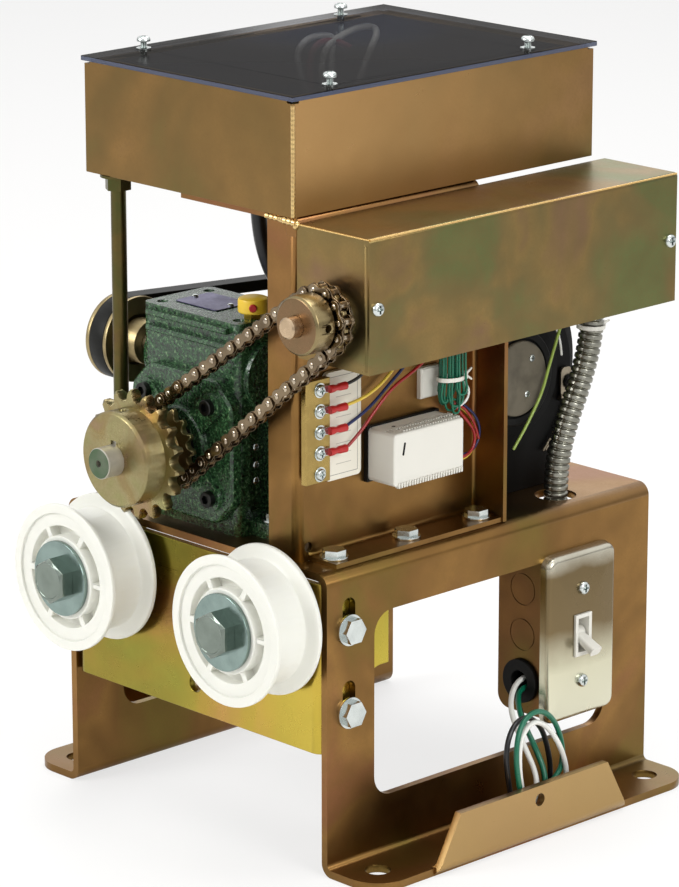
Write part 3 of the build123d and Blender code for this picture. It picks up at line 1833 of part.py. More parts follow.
def grommet():
    """Rubber grommet in the near side of the switch box."""
    inner = grommet_width / 2
    flange = (grommet_width - wiring_sheet) / 2
    middle = wiring_front + wiring_sheet / 2
    ring = rod_y(wiring_hole_x, middle - inner, middle + inner, grommet_height, grommet_radius)
    for y in (middle - inner, middle + inner - flange):
        ring += rod_y(wiring_hole_x, y, y + flange, grommet_height, grommet_flange_radius)
    return ring - rod_y(wiring_hole_x, middle - inner, middle + inner, grommet_height, grommet_hole_radius)


def switch_cover():
    """Raised steel cover with flared edges and a slot for the toggle."""
    width = wiring_width + 2 * cover_flare
    height = wiring_height + 2 * cover_flare
    lean = degrees(atan2(cover_flare, cover_raise))
    corner = cover_rounding + cover_flare
    rim = RectangleRounded(width, height, corner)
    middle = Plane.YZ.offset(half_width) * Pos(wiring_y, wiring_z)
    cover = extrude(middle * rim, amount=cover_raise, taper=lean)
    hollow = RectangleRounded(width - 2 * cover_sheet, height - 2 * cover_sheet, corner - cover_sheet)
    cover -= extrude(middle * hollow, amount=cover_raise - cover_sheet, taper=lean)
    slot = Rectangle(toggle_bezel_width + 2 * fit_gap, toggle_bezel_height + 2 * fit_gap)
    cover -= along_x(Pos(wiring_y, wiring_z) * slot, half_width, cover_face)
    for z in switch_screw_heights():
        cover -= rod_x(half_width, cover_face, wiring_y, z, pan_shank_radius + fit_gap)
    return cover


def toggle_switch():
    """Toggle switch body, mounting strap and bezel."""
    strap_face = cover_face - cover_sheet - fit_gap
    strap_back = strap_face - toggle_strap
    front = cover_face + toggle_bezel

    def plate(x0, x1, width, height):
        return block(
            x0, x1, wiring_y - width / 2, wiring_y + width / 2, wiring_z - height / 2, wiring_z + height / 2
        )

    body = plate(strap_back - toggle_body_depth, strap_back, toggle_body_width, toggle_body_height)
    body += plate(strap_back, strap_face, toggle_strap_width, wiring_height - 2 * cover_rounding)
    body += plate(strap_face, front, toggle_bezel_width, toggle_bezel_height)
    wall = toggle_bezel_width - lever_tip_width - 2 * lever_gap
    floor = lever_x - lever_root_radius - lever_gap
    body -= plate(floor, front, toggle_bezel_width - wall, toggle_bezel_height - wall)
    for z in switch_screw_heights():
        body -= rod_x(strap_back, strap_face, wiring_y, z, pan_shank_radius + fit_gap)
    return body


lever_x = cover_face - lever_set_back


def toggle_lever():
    """Toggle lever in its lower position."""
    narrow = Rectangle(lever_root_width, lever_root_radius)
    wide = Rectangle(lever_tip_width, lever_tip_height)
    wide = fillet(wide.vertices(), lever_tip_height / 3)
    narrow = fillet(narrow.vertices(), lever_root_radius / 3)
    stick = loft([Plane.YZ * narrow, Plane.YZ.offset(lever_reach) * wide])
    stick += rod_y(0, -lever_tip_width / 2 + lever_gap, lever_tip_width / 2 - lever_gap, 0, lever_root_radius)
    return Pos(lever_x, wiring_y, wiring_z) * Rot(0, lever_angle, 0) * stick


def terminal_board():
    """White legend board behind the terminal strip."""
    middle = (terminal_low + terminal_high) / 2
    plan = RectangleRounded(board_right - board_left, terminal_high - terminal_low, board_corner)
    board = along_x(Pos((board_left + board_right) / 2, middle) * plan, tower_x, tower_x + terminal_thickness)
    return board


def terminal_heights():
    """Screw heights on the terminal strip."""
    return [terminal_first + k * terminal_step for k in range(terminal_count)]


def terminal_strip():
    """Brass strip, its screws and the insulated lugs of the leads."""
    back = tower_x + terminal_thickness
    face = back + strip_thickness
    high = terminal_first + (terminal_count - 1) * terminal_step
    end = terminal_first - strip_low
    strip = block(back, face, board_left, board_left + strip_width, strip_low, high + end)
    y = board_left + strip_width / 2
    pieces = []
    for z in terminal_heights():
        strip -= rod_x(back, face, y, z, terminal_shank_radius)
        screw = rod_x(face, face + terminal_head, y, z, terminal_head_radius)
        screw -= block(
            face + terminal_head / 2,
            face + terminal_head,
            y - terminal_head_radius,
            y + terminal_head_radius,
            z - lug_tongue / 2,
            z + lug_tongue / 2,
        )
        pieces.append(screw + rod_x(back, face, y, z, terminal_shank_radius))
    for z in terminal_heights()[1:]:
        start = y + terminal_head_radius + lug_gap
        lug = block(face, face + lug_tongue, start, start + lug_length, z - lug_radius, z + lug_radius)
        barrel_start = start + lug_length / 3
        barrel = rod_y(lug_x, barrel_start, start + lug_length, z, lug_radius)
        pieces.append(lug + barrel)
    return pieces + [strip]


def receiver_box():
    """Radio receiver case on its back plate, and the tie mount beside it."""
    width = receiver_right - receiver_left
    height = receiver_high - receiver_low
    middle = Pos((receiver_left + receiver_right) / 2, (receiver_low + receiver_high) / 2)
    plan = RectangleRounded(width, height, receiver_corner)
    foot = RectangleRounded(width - receiver_base, height - receiver_base, receiver_corner / 2)
    base_face = tower_x + receiver_base
    case = along_x(middle * plan, base_face, base_face + receiver_depth)
    case = fillet(case.edges().group_by(Axis.X)[-1], receiver_corner / 2)
    fins = int(width / receiver_fin_step) - 1
    start = base_face + receiver_depth / 2
    end = base_face + receiver_depth * receiver_fin_share
    for k in range(1, fins):
        y = receiver_left + k * receiver_fin_step
        for z in (receiver_low, receiver_high - receiver_fin_depth):
            case -= block(start, end, y, y + receiver_fin_step / 2, z, z + receiver_fin_depth)
    back = along_x(middle * foot, tower_x, base_face)
    mount = block(
        tower_x,
        tower_x + mount_height,
        mount_y - mount_side / 2,
        mount_y + mount_side / 2,
        mount_z - mount_side / 2,
        mount_z + mount_side / 2,
    )
    return [case + back, chamfer(mount.edges().group_by(Axis.X)[-1], mount_height / 4)]


def cord(name, points, radius):
    """Round cord of straight runs joined by tangent arcs, whose radii are printed."""
    radii = []
    for before, corner, after in zip(points, points[1:], points[2:]):
        into = Vector(*corner) - Vector(*before)
        away = Vector(*after) - Vector(*corner)
        half_turn = radians(into.get_angle(away)) / 2
        radii.append(cord_bend_share * min(into.length, away.length) / tan(half_turn))
    print(name, [round(value) for value in radii])
    route = FilletPolyline(*points, radius=radii)
    start = Plane(origin=route @ 0, z_dir=route % 0)
    return sweep(start * Circle(radius), path=route)


def cords():
    """Every cord by node name."""
    plan = {
        "conduit": (conduit_points, conduit_radius),
        "black_sleeve": (sleeve_points, sleeve_radius),
        "pigtail_white": (white_points, pigtail_radius),
        "pigtail_green": (green_points, pigtail_radius),
        "pigtail_black": (black_points, pigtail_radius),
        "lead_red": (red_points, lead_radius),
        "lead_yellow": (yellow_points, lead_radius),
        "lead_blue": (blue_points, lead_radius),
        "lead_black": (black_lead_points, lead_radius),
        "receiver_lead": (receiver_lead_points, lead_radius),
        "ground_lead": (ground_points, ground_radius),
        "wire_hank": (hank_points, hank_radius),
    }
    return {name: cord(name, points, radius) for name, (points, radius) in plan.items()}


nodes = {
    "base_frame": base_frame(),
    "roller_plate": roller_plate(),
    "frame_bolts": frame_bolts(),
    "left_roller": guide_roller(-roller_spacing / 2),
    "right_roller": guide_roller(roller_spacing / 2),
    "roller_bolts": roller_bolts(),
    "roller_washers": roller_washers(),
    "tower_bracket": tower_bracket(),
    "control_box": control_box(),
    "box_lid": box_lid(),
    "machine_screws": machine_screws(),
    "control_board": control_board(),
    "support_post": support_post(),
    "limit_box": limit_box(),
    "limit_cover": limit_cover(),
    "limit_bearings": limit_bearings(),
    "limit_shaft": limit_shaft(),
    "limit_sprocket": limit_sprocket(),
    "front_limit_nut": limit_nut(front_nut_y),
    "rear_limit_nut": limit_nut(rear_nut_y),
    "nut_guide": nut_guide(),
    "limit_switches": limit_switches(),
    "limit_chain": limit_chain(),
    "drive_sprocket": drive_sprocket(),
    "limit_drive_sprocket": limit_drive_sprocket(),
    "output_shaft": output_shaft(),
    "gearbox_housing": gearbox_housing(),
    "gearbox_cover": gearbox_cover(),
    "worm_wheel": worm_wheel(),
    "worm_shaft": worm_shaft(),
    "gearbox_bearings": gearbox_bearings(),
    "oil_seals": oil_seals(),
    "breather": breather(),
    "gearbox_pulley": gearbox_pulley(),
    "motor_pulley": motor_pulley(),
    "drive_belt": drive_belt(),
    "motor_shell": motor_shell(),
    "motor_end_bells": motor_end_bells(),
    "motor_rotor": motor_rotor(),
    "motor_cradle": motor_cradle(),
    "switch_box": switch_box(),
    "switch_cover": switch_cover(),
    "toggle_switch": toggle_switch(),
    "toggle_lever": toggle_lever(),
    "grommet": grommet(),
    "terminal_board": terminal_board(),
    "terminal_strip": terminal_strip(),
    "receiver_box": receiver_box(),
}
nodes.update(cords())

os.makedirs("parts", exist_ok=True)
for name, shape in nodes.items():
    if isinstance(shape, list):
        shape = Compound(children=[solid for piece in shape for solid in piece.solids()])
    export_step(shape, f"parts/{name}.step")
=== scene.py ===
from math import atan2, cos, pi, radians, sin, sqrt

import bmesh
import bpy
from mathutils import Matrix, Quaternion, Vector


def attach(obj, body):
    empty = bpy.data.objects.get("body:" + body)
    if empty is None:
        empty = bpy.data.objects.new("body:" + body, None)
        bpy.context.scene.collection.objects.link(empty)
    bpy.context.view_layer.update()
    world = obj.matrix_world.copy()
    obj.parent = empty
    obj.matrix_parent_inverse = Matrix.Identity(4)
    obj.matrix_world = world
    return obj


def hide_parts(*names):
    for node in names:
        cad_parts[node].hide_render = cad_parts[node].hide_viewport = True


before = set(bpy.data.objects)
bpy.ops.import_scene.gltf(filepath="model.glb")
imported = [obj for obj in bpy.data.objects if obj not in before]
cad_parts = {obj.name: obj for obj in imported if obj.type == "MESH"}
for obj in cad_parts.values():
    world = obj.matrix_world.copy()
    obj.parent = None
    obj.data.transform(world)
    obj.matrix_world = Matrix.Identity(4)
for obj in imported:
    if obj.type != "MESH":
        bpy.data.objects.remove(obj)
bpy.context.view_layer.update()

scene = bpy.context.scene

# Slide gate operator, dressed. Lengths are in millimetres until a piece is made,
# and MM turns them into the metres of the frame.
MM = 0.001

# The photograph's size and where its camera stood
PICTURE_WIDTH = 679
PICTURE_HEIGHT = 887
FOCAL_PIXELS = 4211.5
AXIS_PIXEL = (269.6, 449.5)
CAMERA_PLACE = (1810.2, -1762.5, 929.4)
CAMERA_AZIMUTH = 47.04
CAMERA_ELEVATION = 15.81
CAMERA_ROLL = -0.31
SENSOR = 36


def added(name, data):
    """New object in the scene."""
    made = bpy.data.objects.new(name, data)
    scene.collection.objects.link(made)
    return made


def place_camera():
    """Camera at the photograph's viewing angle."""
    data = bpy.data.cameras.new("camera")
    data.sensor_width = SENSOR
    data.lens = FOCAL_PIXELS * SENSOR / PICTURE_HEIGHT
    data.shift_x = (PICTURE_WIDTH / 2 - AXIS_PIXEL[0]) / PICTURE_HEIGHT
    data.shift_y = (AXIS_PIXEL[1] - PICTURE_HEIGHT / 2) / PICTURE_HEIGHT
    azimuth, elevation, roll = radians(CAMERA_AZIMUTH), radians(CAMERA_ELEVATION), radians(CAMERA_ROLL)
    back = Vector((sin(azimuth) * cos(elevation), -cos(azimuth) * cos(elevation), sin(elevation)))
    camera = added("camera", data)
    camera.rotation_mode = "QUATERNION"
    camera.rotation_quaternion = (-back).to_track_quat("-Z", "Y") @ Quaternion((0, 0, 1), roll)
    camera.location = Vector(CAMERA_PLACE) * MM
    scene.camera = camera


place_camera()


# Surfaces

finishes = {}


def paint(shown, shade=1):
    """Linear colour, times a shade, from the 0 to 255 values that a screen shows."""
    shares = [value / 255 for value in shown]
    light = [share / 12.92 if share <= 0.04045 else ((share + 0.055) / 1.055) ** 2.4 for share in shares]
    return (*(shade * value for value in light), 1)


def arithmetic(operation):
    """Methods of a wire on the left and on the right of a sign."""
    def left(self, other):
        return self.maths(operation, self, other)

    def right(self, other):
        return self.maths(operation, other, self)
    return left, right


class Wire:
    """One output of a shader node, which takes part in plain arithmetic."""

    def __init__(self, nodes, socket):
        self.nodes = nodes
        self.socket = socket

    def maths(self, operation, *values):
        return self.nodes.node("Math", dict(enumerate(values)), operation=operation)

    def __abs__(self):
        return self.maths("ABSOLUTE", self)

    __add__, __radd__ = arithmetic("ADD")
    __sub__, __rsub__ = arithmetic("SUBTRACT")
    __mul__, __rmul__ = arithmetic("MULTIPLY")
    __pow__ = arithmetic("POWER")[0]
    __gt__ = arithmetic("GREATER_THAN")[0]
    __lt__ = arithmetic("LESS_THAN")[0]


class Nodes:
    """A node tree being built."""

    def __init__(self, tree):
        self.tree = tree

    def node(self, kind, inputs, out=0, **settings):
        """Any shader node: its type, its inputs by name or number, its output and settings."""
        made = self.tree.nodes.new("ShaderNode" + kind)
        for key, value in settings.items():
            setattr(made, key, value)
        for key, value in inputs.items():
            if isinstance(value, Wire):
                self.tree.links.new(value.socket, made.inputs[key])
            else:
                made.inputs[key].default_value = value
        return Wire(self, made.outputs[out])

    def rays(self):
        """Whether a ray comes from the camera, from a glossy or from a clear surface."""
        outputs = self.node("LightPath", {}).socket.node.outputs
        return [Wire(self, outputs[f"Is {kind} Ray"]) for kind in ("Camera", "Glossy", "Transmission")]


class Finish(Nodes):
    """A procedural surface being mixed on one Principled shader."""

    def __init__(self, name, constants):
        material = bpy.data.materials.new(name)
        material.use_nodes = True
        super().__init__(material.node_tree)
        self.shader = self.tree.nodes["Principled BSDF"]
        for socket, value in constants.items():
            self.shader.inputs[socket].default_value = value
        self.place = self.node("TexCoord", {}, "Object")
        finishes[name] = material

    def noise(self, scale, detail=2, distortion=0):
        inputs = {"Vector": self.place, "Scale": scale, "Detail": detail, "Distortion": distortion}
        return self.node("TexNoise", inputs)

    def axis(self, letter):
        """One coordinate of the point on the surface, in metres."""
        return self.node("SeparateXYZ", {"Vector": self.place}, letter)

    def span(self, value, low, high):
        """0 to 1 as a value goes from low to high, held outside."""
        return self.node("MapRange", {"Value": value, "From Min": low, "From Max": high}, clamp=True)

    def tones(self, value, stops):
        """Shown colours along a ramp."""
        made = self.node("ValToRGB", {"Fac": value})
        elements = made.socket.node.color_ramp.elements
        for position, _ in stops[1:-1]:
            elements.new(position)
        for element, (position, colour) in zip(elements, stops):
            element.position = position
            element.color = paint(colour)
        return made

    def dye(self, share, under, over):
        """Mix of two linear colours."""
        return self.node("Mix", {0: share, 6: under, 7: over}, 2, data_type="RGBA")

    def relief(self, height, depth):
        """Fine surface shape, depth in millimetres."""
        self.feed("Normal", self.node("Bump", {"Height": height, "Distance": depth * MM, "Strength": 1}, "Normal"))

    def feed(self, socket, wire):
        self.tree.links.new(wire.socket, self.shader.inputs[socket])


FILM_STOPS = (0.34, 0.46, 0.56, 0.66)


def chromate(name, body, warm, green, pink, patch, gloss, painted_light=None, grit=1):
    """Yellow zinc plating: brown gold with thin patches of green and pink, and painted light where an entry for it is
    given: a paler colour over one part.
    """
    finish = Finish(name, {"Metallic": 1})
    drift = finish.noise(patch, detail=3, distortion=0.7)
    film = finish.tones(drift, list(zip(FILM_STOPS, (green, body, warm, pink))))
    grain = finish.noise(600, detail=3)
    blotch = finish.noise(45, detail=4)
    shaded = finish.dye(finish.span(blotch, 0.35, 0.75) * 0.35, film, paint(body, 0.62))
    film = finish.dye(finish.span(grain, 0.35, 0.7) * (0.3 * grit), shaded, paint(warm, 0.75))
    # Painted light: a paler tone over the part that the entry marks out
    if painted_light:
        letter, low, high, along, dull, bright, painted_light_tone, most = painted_light
        share = finish.span(finish.axis(letter), low, high) * finish.span(finish.axis(along), dull, bright) * most
        film = finish.dye(share, film, paint(painted_light_tone))
    finish.feed("Base Color", film)
    finish.feed("Roughness", gloss + (blotch - 0.5) * 0.25 + (grain - 0.5) * (0.12 * grit))
    finish.relief(grain, 0.02 * grit)


def plain_metal(name, colour, gloss, stain, grain_scale=500, depth=0.012):
    """Bare or zinc plated metal with fine grain and faint staining."""
    finish = Finish(name, {"Metallic": 1})
    blotch = finish.noise(70, detail=4)
    grain = finish.noise(grain_scale, detail=3)
    finish.feed("Base Color", finish.dye(finish.span(blotch, 0.4, 0.75) * 0.5, paint(colour), paint(stain)))
    finish.feed("Roughness", gloss + (blotch - 0.5) * 0.3 + (grain - 0.5) * 0.2)
    finish.relief(grain, depth)


def moulded(name, colour, gloss, shade=0.9, grain_scale=900, depth=0.01, more=None):
    """Moulded plastic or rubber with a fine texture."""
    finish = Finish(name, more or {})
    cloud = finish.noise(30, detail=3)
    grain = finish.noise(grain_scale)
    finish.feed("Base Color", finish.dye(cloud, paint(colour), paint(colour, shade)))
    finish.feed("Roughness", gloss + (grain - 0.5) * 0.15)
    finish.relief(grain, depth)


# Painted light: a finish with such an entry is painted paler along one axis from a low to a high place, and along
# another from dull to bright
# Painted light: the control box's right side face is paler towards its front end
chromate(
    "box_gold", (126, 102, 62), (144, 112, 67), (112, 106, 62), (150, 115, 76), 7, 0.34,
    ("X", 0.0842, 0.0846, "Y", 0.13, -0.17, (210, 166, 110), 1),
)
chromate("cover_gold", (122, 108, 70), (140, 116, 72), (106, 112, 70), (132, 104, 78), 14, 0.34)
# Painted light: the base is paler on its right side, fading out at the bottom
chromate(
    "base_gold", (124, 92, 52), (146, 110, 62), (114, 98, 48), (140, 96, 65), 9, 0.34,
    ("X", 0.1585, 0.161, "Z", -0.02, 0.006, (184, 154, 104), 0.8),
)
# Painted light: the roller plate is paler towards its right and lower part
chromate(
    "plate_gold", (144, 131, 54), (157, 126, 60), (128, 134, 54), (170, 116, 80), 11, 0.26,
    ("X", -0.04, 0.13, "Z", 0.2, 0.11, (214, 188, 78), 0.78), 0.35,
)
chromate("switch_gold", (107, 76, 46), (122, 88, 50), (98, 80, 42), (122, 78, 55), 14, 0.34)
chromate("post_olive", (92, 84, 50), (104, 88, 52), (80, 84, 48), (98, 78, 56), 30, 0.34)
chromate("sprocket_gold", (156, 145, 106), (146, 128, 86), (148, 144, 98), (150, 126, 96), 40, 0.3)
plain_metal("zinc", (206, 212, 210), 0.22, (140, 148, 146))
plain_metal("washer_zinc", (136, 154, 149), 0.2, (92, 108, 104))
plain_metal("bolt_zinc", (128, 138, 130), 0.2, (84, 92, 84))
plain_metal("clamp_steel", (150, 140, 122), 0.4, (90, 80, 66), depth=0.03)
plain_metal("steel", (190, 186, 176), 0.3, (128, 120, 104))
plain_metal("chain_steel", (128, 112, 90), 0.2, (54, 42, 32), 240)
plain_metal("terminal_brass", (166, 142, 84), 0.3, (132, 108, 62))
plain_metal("pin_steel", (190, 176, 156), 0.2, (96, 78, 62))
plain_metal("socket_steel", (60, 60, 58), 0.35, (24, 24, 24))
plain_metal("nose_steel", (196, 172, 142), 0.3, (104, 84, 62))
plain_metal("conduit_steel", (146, 145, 135), 0.3, (84, 82, 73))
plain_metal("brass_gold", (190, 160, 60), 0.3, (140, 110, 40))
# Painted highlight colour of the bright lines along bent edges
plain_metal("edge_highlight_gold", (226, 190, 124), 0.25, (206, 162, 96))
plain_metal("weld_gold", (214, 184, 126), 0.26, (176, 138, 92), depth=0.03)
plain_metal("plate_blue", (84, 80, 108), 0.42, (60, 58, 82))
plain_metal("bronze", (186, 132, 74), 0.4, (130, 90, 50))
plain_metal("pulley_iron", (160, 144, 106), 0.42, (60, 48, 34), depth=0.05)
DULL = {"Specular IOR Level": 0.15}
CLOUDY = {"Subsurface Weight": 0.5, "Subsurface Radius": (0.012, 0.012, 0.011)}
moulded("nylon", (228, 228, 220), 0.42, 0.96, more=CLOUDY)
moulded("white_plastic", (220, 218, 209), 0.4, 0.96)
moulded("nut_plastic", (232, 230, 220), 0.45)
moulded("yellow_plastic", (245, 205, 56), 0.38)
moulded("red_plastic", (176, 26, 26), 0.35)
moulded("rubber", (20, 20, 19), 0.55, 0.7, more=DULL)
moulded("belt_rubber", (26, 26, 24), 0.5, 0.7, depth=0.05, more=DULL)
moulded("motor_black", (14, 14, 13), 0.46, 0.7, 700, 0.02, {"Specular IOR Level": 0.09})
moulded("sleeve_black", (24, 24, 26), 0.35, 0.7)
moulded("white_wire", (236, 236, 230), 0.35)
moulded("green_wire", (8, 104, 76), 0.3)
moulded("black_wire", (22, 22, 24), 0.3)
moulded("red_wire", (150, 26, 26), 0.32)
moulded("yellow_wire", (216, 186, 70), 0.32)
moulded("blue_wire", (24, 36, 84), 0.32)
moulded("pale_green_wire", (146, 170, 72), 0.32)


def hammered_paint():
    """Dark green paint over a rough casting."""
    finish = Finish("green_iron", {"Specular IOR Level": 0.6})
    dimple = finish.noise(540, distortion=0.4)
    greens = [(0.3, (14, 28, 16)), (0.5, (38, 70, 42)), (0.66, (66, 106, 66)), (0.76, (140, 160, 120))]
    finish.feed("Base Color", finish.tones(dimple, greens))
    finish.feed("Roughness", 0.24 + (dimple - 0.5) * 0.3)
    finish.relief(dimple + finish.noise(120) * 0.5, 0.45)


def two_toned(name, letter, turn, inner, outer, metallic, gloss, sheen=0.5, rising=False):
    """One colour up to a plane across an axis and another beyond it."""
    finish = Finish(name, {"Metallic": metallic, "Specular IOR Level": sheen})
    grain = finish.noise(500, detail=3)
    blotch = finish.noise(90, detail=4)
    along = finish.axis(letter)
    beyond = along > turn * MM if rising else along < turn * MM
    colour = finish.dye(beyond, paint(inner), paint(outer))
    finish.feed("Base Color", finish.dye(finish.span(blotch, 0.4, 0.75) * 0.4, colour, paint(inner, 0.5)))
    finish.feed("Roughness", gloss + (grain - 0.5) * 0.2)
    finish.relief(grain, 0.015)


# Bottom and top of the switch cover, in metres, over which its painted reflection runs
COVER_SPAN = (0.052, 0.159)


def pressed_cover():
    """Zinc plated switch cover with a painted reflection: browner over its upper half, paler at the bottom and at the
    top edge.
    """
    finish = Finish("cover_steel", {"Metallic": 1})
    height = finish.span(finish.axis("Z"), *COVER_SPAN)
    cloud = finish.noise(26, detail=4)
    # Painted reflection along the height: pale low down, brown over the upper half, pale again at the top edge
    tones = [
        (0, (218, 216, 194)), (0.3, (210, 207, 182)), (0.56, (118, 102, 74)), (0.9, (114, 98, 70)),
        (1, (196, 192, 176)),
    ]
    finish.feed("Base Color", finish.tones(height + (cloud - 0.5) * 0.16, tones))
    finish.feed("Roughness", 0.26 + (cloud - 0.5) * 0.1)
    finish.relief(finish.noise(500, detail=3), 0.012)


# Where the lid's edge starts, and the middle and squared reach of its clearer spot, in metres
LID_EDGE = 0.4671
CLEAR_SPOT = (-0.068, 0.04)
CLEAR_REACH = (0.0064, 0.0009)


def smoked_sheet():
    """Smoked clear sheet, seen through only faintly, with a bluer cut edge."""
    finish = Finish("smoked", {"IOR": 1.5, "Specular IOR Level": 0.003})
    haze = finish.noise(18, detail=3)
    away = (finish.axis("X") - CLEAR_SPOT[0]) ** 2 + (finish.axis("Y") - CLEAR_SPOT[1]) ** 2
    finish.feed("Alpha", 0.8 - 0.34 * finish.span(away, *CLEAR_REACH))
    sheet = finish.dye(haze, paint((18, 16, 13)), paint((28, 25, 21)))
    finish.feed("Base Color", finish.dye(finish.axis("Z") < LID_EDGE, sheet, paint((84, 90, 108))))
    finish.feed("Roughness", 0.11 + haze * 0.05)


# Middle and half size of the legend board in Y and Z, in metres
LABEL_MIDDLE = (-0.1009, 0.2678)
LABEL_HALF = (0.0112, 0.0297)


def ruled_label():
    """White legend board with a thin inset border and a few plain rules."""
    finish = Finish("label_white", {"Roughness": 0.5})
    across = abs(finish.axis("Y") - LABEL_MIDDLE[0])
    up = abs(finish.axis("Z") - LABEL_MIDDLE[1])
    border = across.maths("MAXIMUM", across - LABEL_HALF[0], up - LABEL_HALF[1])
    line = (border > 0) * (border < 0.00035)
    rules = up.maths("PINGPONG", up + 0.0012, 0.0031)
    rule = (rules < 0.00022) * (border < -0.004) * (across < 0.0062)
    ink = line.maths("MAXIMUM", line * 0.8, rule * 0.45)
    finish.feed("Base Color", finish.dye(ink, paint((222, 218, 204)), paint((60, 56, 52))))


def circuit_board():
    """Green board with faint tracks."""
    finish = Finish("circuit", {"Roughness": 0.4})
    point = finish.node("Mapping", {"Vector": finish.place, "Scale": (1, 3, 1)})
    tracks = finish.node("TexVoronoi", {"Vector": point, "Scale": 90}, "Distance")
    finish.feed("Base Color", finish.dye(tracks > 0.4, paint((36, 80, 48)), paint((150, 140, 90))))


hammered_paint()
two_toned("bell_black", "X", 73.8, (13, 13, 12), (106, 100, 87), 0, 0.46, 0.1, rising=True)
two_toned("hub_gold", "Y", -166.3, (146, 130, 94), (126, 100, 73), 1, 0.3)
two_toned("shaft_steel", "Y", -198.7, (176, 172, 160), (70, 92, 64), 0.6, 0.36)
pressed_cover()
smoked_sheet()
circuit_board()
ruled_label()


# Shapes

RIGHT, FRONT, UP = (1, 0, 0), (0, -1, 0), (0, 0, 1)


def facing(place, axis):
    """Frame at a place with its Z along an axis."""
    turn = Vector(axis).to_track_quat("Z", "Y").to_matrix().to_4x4()
    return Matrix.Translation(Vector(place)) @ turn


def lace(shape, low, high):
    """Faces between two rings; a ring of one point closes to a tip."""
    count = max(len(low), len(high))
    for near, far in ((k, k + 1) for k in range(count)):
        corners = [low[near % len(low)], low[far % len(low)], high[far % len(high)], high[near % len(high)]]
        shape.faces.new(list(dict.fromkeys(corners)))


def ring(shape, place, outline, height):
    """Corners of a flat outline at one height of a place."""
    return [shape.verts.new(place @ Vector((x, y, height))) for x, y in outline]


def circle(radius, count, start=0):
    """Points round a circle."""
    angles = [start + 2 * pi * k / count for k in range(count)]
    return [(radius * cos(a), radius * sin(a)) for a in angles]


def turned(shape, place, profile, sides=32, closed=False, start=0):
    """Turns a profile of radius and height round the Z of a place."""
    rings = [ring(shape, place, circle(r, sides if r > 0 else 1, start), height) for r, height in profile]
    for low, high in zip(rings, rings[1:]):
        lace(shape, low, high)
    if closed:
        lace(shape, rings[-1], rings[0])
    return rings


def cap(shape, place, rings, layers):
    """Goes on from the last ring through flat outlines at their heights, and closes the end."""
    for outline, height in layers:
        rings.append(ring(shape, place, outline, height))
        lace(shape, rings[-2], rings[-1])
    shape.faces.new(rings[-1])


def slab(shape, place, outline, low, high):
    """Pushes a flat outline along the Z of a place."""
    rings = [ring(shape, place, outline, height) for height in (low, high)]
    lace(shape, *rings)
    for end in rings:
        shape.faces.new(end)


def rounded(width, height, corner, steps=4):
    """Outline of a rectangle with round corners, about its middle."""
    outline = []
    for k, (x, y) in enumerate(((1, 1), (-1, 1), (-1, -1), (1, -1))):
        middle = Vector((x * (width / 2 - corner), y * (height / 2 - corner)))
        for step in range(steps + 1):
            angle = pi / 2 * (k + step / steps)
            outline.append(middle + Vector((cos(angle), sin(angle))) * corner)
    return outline


def brick(shape, low, high):
    """Box between two corners."""
    outline = ((low[0], low[1]), (high[0], low[1]), (high[0], high[1]), (low[0], high[1]))
    slab(shape, Matrix(), outline, low[2], high[2])


def cross_head(shape, place, radius, height):
    """Pan head with a cross recess, standing on the Z zero of a place."""
    arm, width = radius * 0.6, radius * 0.17
    middle = (arm + width) / 2
    quarter = ((arm, -width), (arm, 0), (arm, width), (middle, width), (width, width), (width, middle))
    cross = [Matrix.Rotation(pi / 2 * k, 2) @ Vector(point) for k in range(4) for point in quarter]
    profile = [(0, 0), (radius, 0), (radius, height * 0.4), (radius * 0.88, height * 0.8), (radius * 0.66, height)]
    rings = turned(shape, place, profile, sides=24, start=-pi / 12)
    cap(shape, place, rings, ((cross, height), ([point * 0.7 for point in cross], height * 0.3)))


def six_sides(radius, start=0, each=4):
    """Points round a hexagon with corners on a circle, evenly along its sides."""
    corners = [Vector((cos(pi / 3 * k + start), sin(pi / 3 * k + start))) * radius for k in range(6)]
    return [corners[k // each].lerp(corners[(k // each + 1) % 6], k % each / each) for k in range(6 * each)]


def hose(shape, line, radii, sides):
    """Round skin along a line of points, with a radius for each."""
    rings = []
    side = None
    for k, point in enumerate(line):
        ahead = (line[min(k + 1, len(line) - 1)] - line[max(k - 1, 0)]).normalized()
        if side is None:
            side = ahead.orthogonal()
        side = (side - ahead * side.dot(ahead)).normalized()
        other = ahead.cross(side)
        rings.append([shape.verts.new(point + side * x + other * y) for x, y in circle(radii[k], sides)])
    for low, high in zip(rings, rings[1:]):
        lace(shape, low, high)
    shape.faces.new(rings[0])
    shape.faces.new(rings[-1])


def wire(shape, line, radius, sides=8):
    """Plain round wire along a line."""
    hose(shape, line, [radius] * len(line), sides)


def piece(name, shape, finish, rounding=0, smooth=35, replaces=None):
    """Makes a named piece of a shape in millimetres, with its finish."""
    bmesh.ops.scale(shape, vec=(MM, MM, MM), verts=shape.verts)
    bmesh.ops.recalc_face_normals(shape, faces=shape.faces)
    mesh = bpy.data.meshes.new(name)
    shape.to_mesh(mesh)
    shape.free()
    mesh.materials.append(finishes[finish])
    mesh.shade_smooth()
    mesh.set_sharp_from_angle(angle=radians(smooth))
    made = added(name, mesh)
    if rounding:
        round_edges(made, rounding)
    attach(made, "operator")
    if replaces:
        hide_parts(replaces)
    return made


def round_edges(made, rounding):
    """Small rounds along the sharp edges."""
    edge = made.modifiers.new("rounding", "BEVEL")
    edge.width = rounding * MM
    edge.segments = 2
    edge.limit_method = "ANGLE"
    edge.angle_limit = radians(40)
    edge.harden_normals = True


